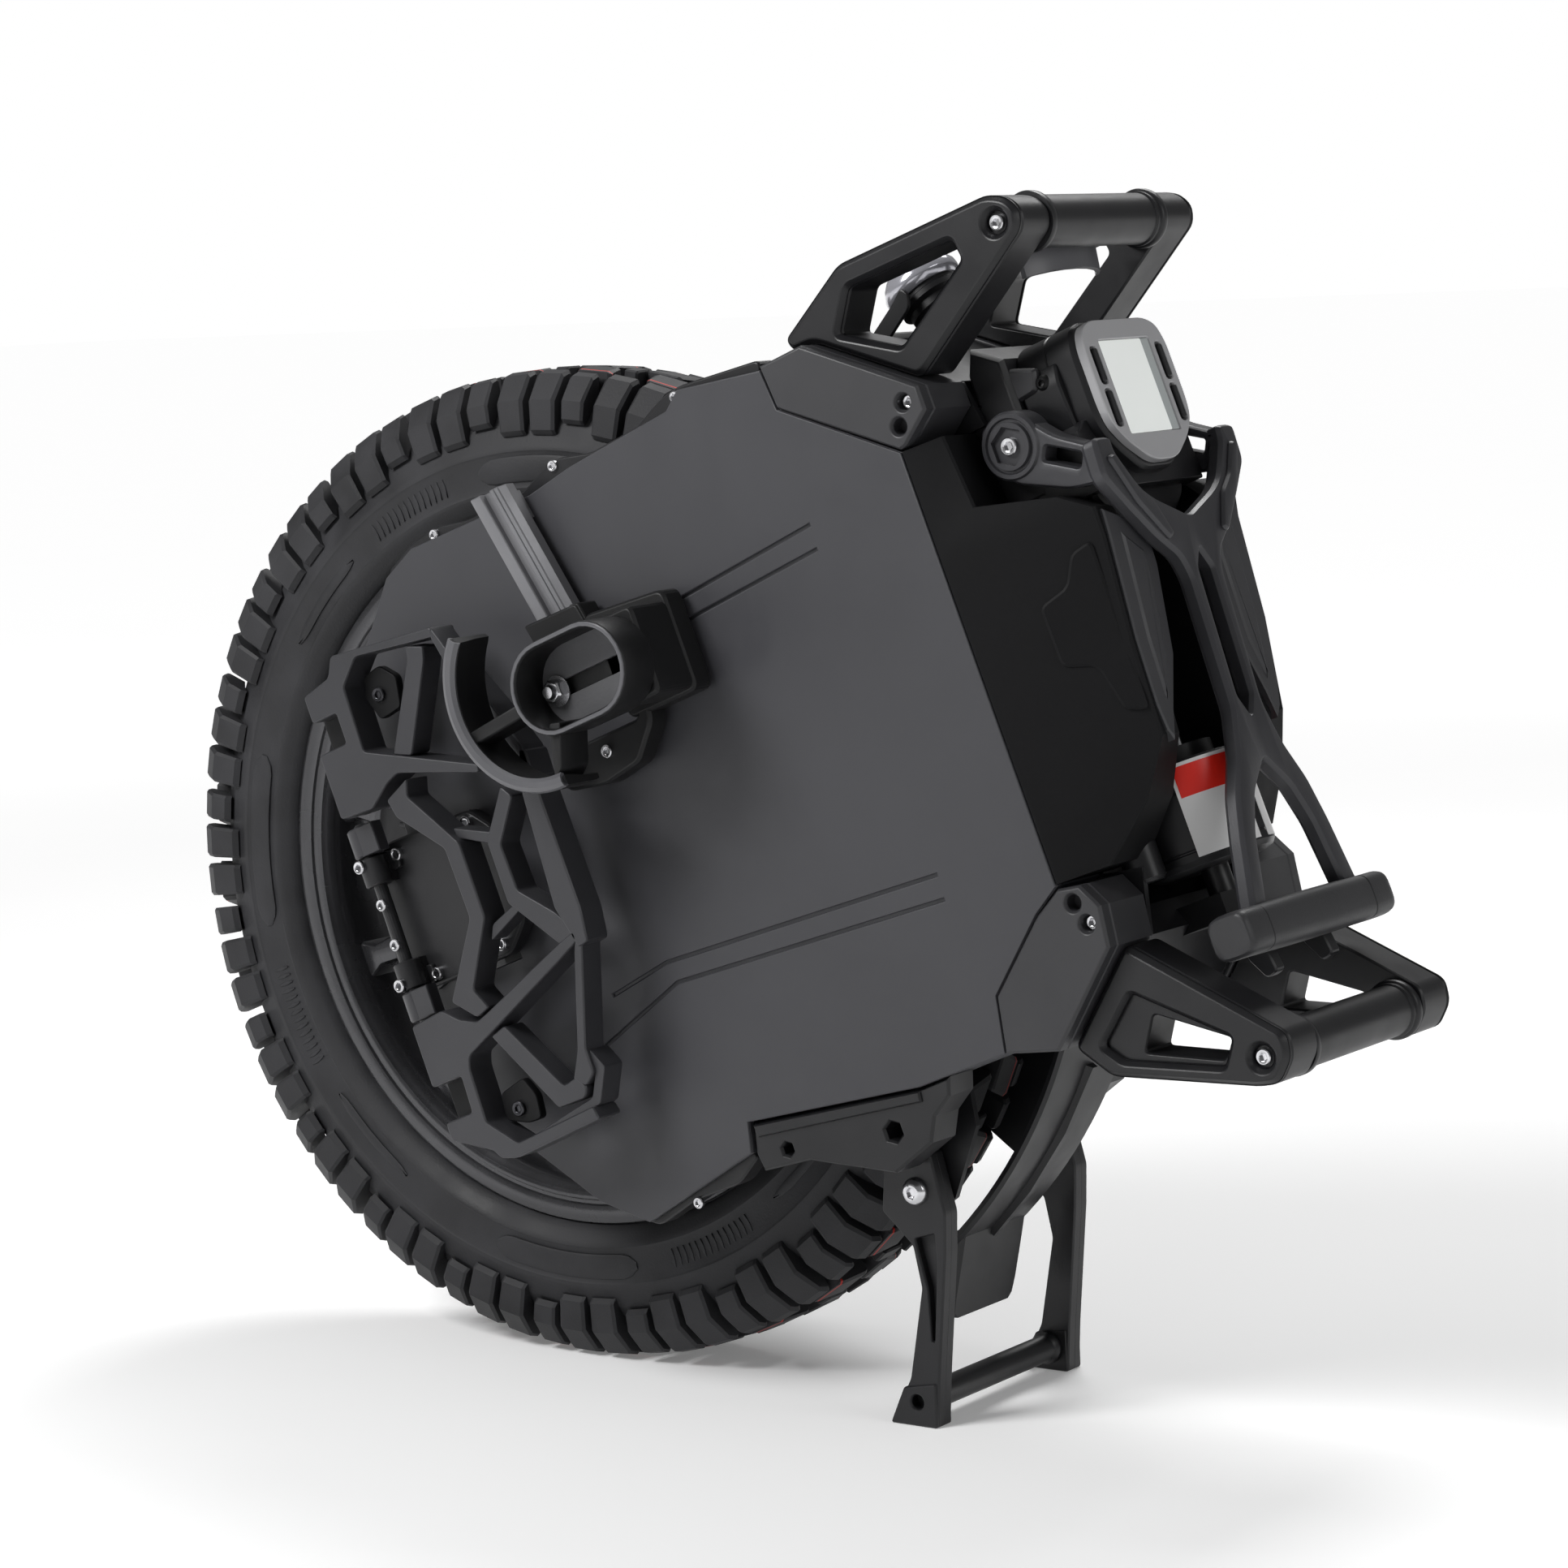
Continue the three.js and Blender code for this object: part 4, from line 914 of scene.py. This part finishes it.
# Shock absorber
CAN_Z = 404.5
can_profile = [(0, -153), (8, -153), (8, -138), (30, -138), (35, -136), (37, -133), (37, -129), (36, -128.4),
    (36, -127.6), (37, -127), (37, -96), (36.4, -95.4), (36.4, -94.6), (37, -94), (37, -82), (35, -78.6),
    (26, -78), (22, -78), (22, -70), (9, -70), (9, -78), (0, -78)]
piece("shock_body", [along_x(can_profile, 72, 0, CAN_Z)], satin_black, "shock_can", smooth=radians(30))
shaft = [(0, -98), (7, -98), (7, -70), (7, 40), (11, 41), (11, 57), (9, 58), (0, 58)]
piece("shock_rod", [
    along_x(shaft, 32, 0, CAN_Z),
    turned([(0, -38), (6, -38), (6, 38), (0, 38)], 24, (49, CAN_Z)),
], bolt_steel, "shock_shaft", body="shock_shaft", slot="bolt_steel", smooth=ROUND)


def sticker(x_low, x_high, start, end, lift, steps=16):
    """A thin curved sheet on the can."""
    rings = []
    for i in range(steps + 1):
        angle = radians(start + (end - start) * i / steps)
        c, s = cos(angle), sin(angle)
        rings.append([(x, radius * c, CAN_Z + radius * s) for x, radius in (
            (x_low, 36.2), (x_high, 36.2), (x_high, 37.1 + lift), (x_low, 37.1 + lift))])
    return skin(rings)


for label, start in (("left", 22), ("right", 96)):
    piece(f"can_sticker_{label}", [sticker(-132, -80, start, start + 62, 0.2)], sticker_white, smooth=ROUND)
    piece(f"can_sticker_band_{label}", [sticker(-99, -82, start + 3, start + 59, 0.4)], sticker_red,
        smooth=ROUND)
reservoir = [(0, -136), (9, -136), (11, -134), (11, -112), (10, -111), (10, -109), (11.6, -108), (11.6, -74),
    (0, -74)]
pair("shock_reservoir", [along_x(reservoir, 36, 49, 392)], satin_black, smooth=ROUND)

# Pad rails, brackets and pads
RAIL_SLOPE = 24 / 110
rail_section = [(112, 90), (119.4, 90), (121.6, 91.6), (122, 93), (122, 99.4), (121.4, 100), (118, 100),
    (118, 107), (121.4, 107), (122, 107.6), (122, 110), (121.2, 110.5), (122, 111), (122, 113.4),
    (121.2, 114), (119, 118), (112, 118)]
rail_rings = []
for x, shrink in ((208, 0.5), (207.4, 0), (98, 0), (97, 0.5)):
    rise = RAIL_SLOPE * (208 - x)
    rail_rings.append([(x, y - (shrink if y > 115 else 0), z + rise) for y, z in rail_section])
rail_foot = plate([(204, 93), (204, 116), (186, 120), (186, 97)], 105, 113, edge=0.8)
pair("rail_profile", [skin(rail_rings), rail_foot], rail_alloy, "pad_rail_SIDE", slot="rail_alloy")

sleeve = rounded([(127, 102), (126, 143), (98, 149), (98, 108)], 3)
wing = rounded([(118, 143.6), (112, 204), (52, 204), (52, 152), (99, 147)], 6)
tongue = rounded([(66, 122), (90, 122), (92, 200), (64, 200)], 4)
bridge_plan = rounded([(54, 174), (106, 174), (106, 203), (54, 203)], 5)
bracket_solids = [
    plate(sleeve, 122.4, 126, edge=1.4, soft=0.5),
    slab([(127, 136.6), (126, 144), (98, 150), (98, 143)], 1.5, 108.4, 125),
    slab([(127, 101), (127, 106.4), (98, 112.8), (98, 107.6)], 1.5, 108.4, 125),
    plate(wing, 108.4, 125.8, edge=2, soft=0.7),
    plate(bridge_plan, 118, 157.4, edge=2, soft=0.7),
    plate(tongue, 152.4, 157.4),
    slab([(51, 98), (51, 157), (58, 161), (58, 168), (46, 166), (28, 148), (24, 120), (29, 93), (41, 87)], 4,
        108.4, 125.6, edge=2, soft=0.7),
]
pair("pad_bracket_body", bracket_solids, pad_rubber, "pad_bracket_SIDE", body="pad_bracket_SIDE")
screws("pad_bracket_screws", [
    socket_bolt((60, 190), 157, 3.8, 3),
    socket_bolt((112, 124), 125.6, 3.4, 2.6),
    socket_bolt((41, 130), 125, 3.8, 2.8),
], body="pad_bracket_SIDE")
PAD_BOLT = (78, 139)
hex_nut = turned([(0, 162.4), (7, 162.4), (7, 167.4), (5.8, 168.4), (4.4, 168.4), (4, 170), (3.4, 171.4),
    (0, 171.6)], 24, PAD_BOLT, hexed=(1, 2, 3))
washer = turned([(0, 161.8), (9, 161.8), (9, 162.8), (0, 162.8)], 28, PAD_BOLT)
screws("pad_slot_bolt", [hex_nut, washer], "pad_bolt_SIDE", body="pad_bracket_SIDE")

CUP = (78, 167)
pad_slot = stadium(CUP, 4.6, 33, 6)
cup_wall = plate(stadium(CUP, 27, 42, 14), 158, 186, [stadium(CUP, 23.2, 38.2, 14)], edge=1.4, soft=0.6)
cup_base = plate(stadium(CUP, 26, 41, 14), 158, 161.4, [pad_slot], edge=0.6)
shell_rings = []
SHELL = (85, 138)
SHELL_SECTION = [(56.6, 153), (60.4, 153), (61, 156), (61, 181), (60.4, 184.6), (58.4, 185.8), (55, 185.2),
    (53.2, 182), (54.2, 175), (56, 166)]
SHELL_ANGLES = [radians(-45 - 137 * i / 40) for i in range(41)]
for i, angle in enumerate(SHELL_ANGLES):
    end_fade = min(1.0, min(i, 40 - i) / 2.2 + 0.8)
    shell_rings.append([around(SHELL, 58.5 + (radius - 58.5) * end_fade,
                               169.5 + (y - 169.5) * (0.9 + 0.1 * end_fade), angle)
                        for radius, y in SHELL_SECTION])
tie = slab([(29, 133), (34, 140), (58, 150), (60, 142)], 2, 158, 183, edge=1.2)
lower_tie = plate([(66, 80), (74, 78), (78, 128), (70, 130)], 158, 182, edge=1.2)
pair("pad_cup", [cup_wall, skin(shell_rings), tie, lower_tie], pad_rubber, "power_pad_SIDE",
    body="power_pad_SIDE", slot="soft_rubber", smooth=radians(32))
pair("pad_cup_floor", [cup_base], cup_floor, body="power_pad_SIDE", slot="soft_rubber")
lip = plate(stadium(CUP, 26.4, 41.4, 14), 184.6, 186.4, [stadium(CUP, 24, 39, 14)], edge=0.5, soft=0.3)
LIP_SECTION = [(53.6, 182), (60.6, 181.4), (61.4, 183.6), (60.4, 185.6), (58, 186.6), (54.8, 186),
    (52.8, 184)]
shell_lip = [[around(SHELL, radius, y, angle) for radius, y in LIP_SECTION] for angle in SHELL_ANGLES]
pair("pad_lips", [lip, skin(shell_lip)], pad_rim, body="power_pad_SIDE", slot="soft_rubber",
    smooth=radians(32))

# Kickstand
def from_floor(x, z):
    """A point given back along the floor and up from it, in the riding frame."""
    up = z - 300
    return (cos(LEAN) * x + sin(LEAN) * up, -sin(LEAN) * x + cos(LEAN) * up)


def floor_outline(points, radius=2.0):
    return rounded([from_floor(x, z) for x, z in points], radius, 3)


STAND_PIVOT = (-251, 195)
STAND_FOOT = from_floor(-268, 14)
leg = [(-251, 154), (-282, 158), (-291, 124), (-290, 100), (-283, 29), (-281, 0), (-249, 0), (-263, 27),
    (-273, 80), (-268, 104), (-248, 122)]
leg_pocket = [(-270, 108), (-283, 112), (-284, 96), (-280.5, 50), (-279, 50), (-277.5, 80)]
leg_foot = [(-281, 0), (-249, 0), (-259, 22), (-281, 26)]
foot_hole = circle(STAND_FOOT, 4.2, 20)
leg_solids = [
    plate(floor_outline(leg), 62, 70),
    plate(floor_outline(leg), 68, 75.6, [floor_outline(leg_pocket, 1), foot_hole], edge=1.1, soft=0.5),
    plate(floor_outline(leg_foot), 61.4, 77, [foot_hole], edge=1.4, soft=0.5),
]
pair("stand_leg", leg_solids, cast_dark, "kickstand_leg_SIDE", body="kickstand", slot="cast_black")
bar = [(0, 61), (9.6, 61), (9.8, 58), (8.4, 56), (8, 55), (8, 0)]
piece("stand_bar", [turned(mirrored(bar), 40, STAND_FOOT)], satin_black, "kickstand_bar", body="kickstand",
    smooth=ROUND)
screws("stand_pivot_bolt", [
    domed_bolt(STAND_PIVOT, 75.8, 8, 5.4),
    turned([(0, 60), (4, 60), (4, 77), (0, 77)], 16, STAND_PIVOT),
], "kickstand_bolt_SIDE")

# CAD nodes that stay, with better materials
KEPT = {"centre_frame": satin_black, "battery_pack_left": cell_wrap, "battery_pack_right": cell_wrap,
    "axle": bolt_steel}
for name, finish in KEPT.items():
    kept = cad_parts[name]
    for place in kept.material_slots:
        place.material = finish
    if name != "axle":
        bevel = kept.modifiers.new("bevel", "BEVEL")
        bevel.width = 0.001
        bevel.segments = 2
        bevel.limit_method = "ANGLE"
        bevel.angle_limit = radians(40)

# Floor, light
floor_material, floor_tree, floor_shader = new_material("floor", (0.9, 0.9, 0.9), 0.9)
floor_tone = mixed(floor_tree, noise(floor_tree, 3, 2), (0.9, 0.9, 0.9), (0.94, 0.94, 0.94))
floor_tree.links.new(floor_tone, floor_shader.inputs["Base Color"])
put(floor_shader, Emission_Color=(1, 1, 1, 1))
floor_reach = add(floor_tree, "VectorMath")
floor_reach.operation = "LENGTH"
floor_glow = add(floor_tree, "MapRange", From_Min=0.8, From_Max=4.0, To_Min=0.15, To_Max=0.8)
floor_tree.links.new(add(floor_tree, "TexCoord").outputs["Object"], floor_reach.inputs[0])
floor_tree.links.new(floor_reach.outputs["Value"], floor_glow.inputs["Value"])
floor_tree.links.new(floor_glow.outputs["Result"], floor_shader.inputs["Emission Strength"])
floor_mesh = bpy.data.meshes.new("floor")
REACH = 60
floor_corners = [(-REACH, -REACH, 0), (REACH, -REACH, 0), (REACH, REACH, 0), (-REACH, REACH, 0)]
floor_mesh.from_pydata(floor_corners, [], [(0, 1, 2, 3)])
floor_mesh.materials.append(floor_material)
floor = link("floor", floor_mesh)

WORLD_LIGHT = 0.2
WORLD_SEEN = 1.0
world = bpy.data.worlds.new("studio")
world.use_nodes = True
sky = world.node_tree
strength = add(sky, "Mix", A=WORLD_LIGHT, B=WORLD_SEEN)
sky.links.new(add(sky, "LightPath").outputs["Is Camera Ray"], strength.inputs["Factor"])
put(sky.nodes["Background"], Color=(1, 1, 1, 1))
sky.links.new(strength.outputs["Result"], sky.nodes["Background"].inputs["Strength"])
bpy.context.scene.world = world

TARGET = Vector((0, 0, 0.35))


def softbox(name, side, up, back, size, power):
    """An area light placed from the target along the camera's right, up and back directions."""
    lamp_data = bpy.data.lights.new(name, "AREA")
    lamp_data.size = size
    lamp_data.energy = power
    place = TARGET + CAMERA_RIGHT * side + Vector((0, 0, up)) - CAMERA_FORWARD * back
    aim = (TARGET - place).to_track_quat("-Z", "Y").to_matrix().to_4x4()
    link(name, lamp_data).matrix_world = Matrix.Translation(place) @ aim


softbox("key", -1.6, 1.3, 0.9, 0.9, 46)
softbox("fill", 1.9, 0.9, 1.6, 1.0, 9)
softbox("rim", 0.6, 2.2, -1.2, 1.2, 38)
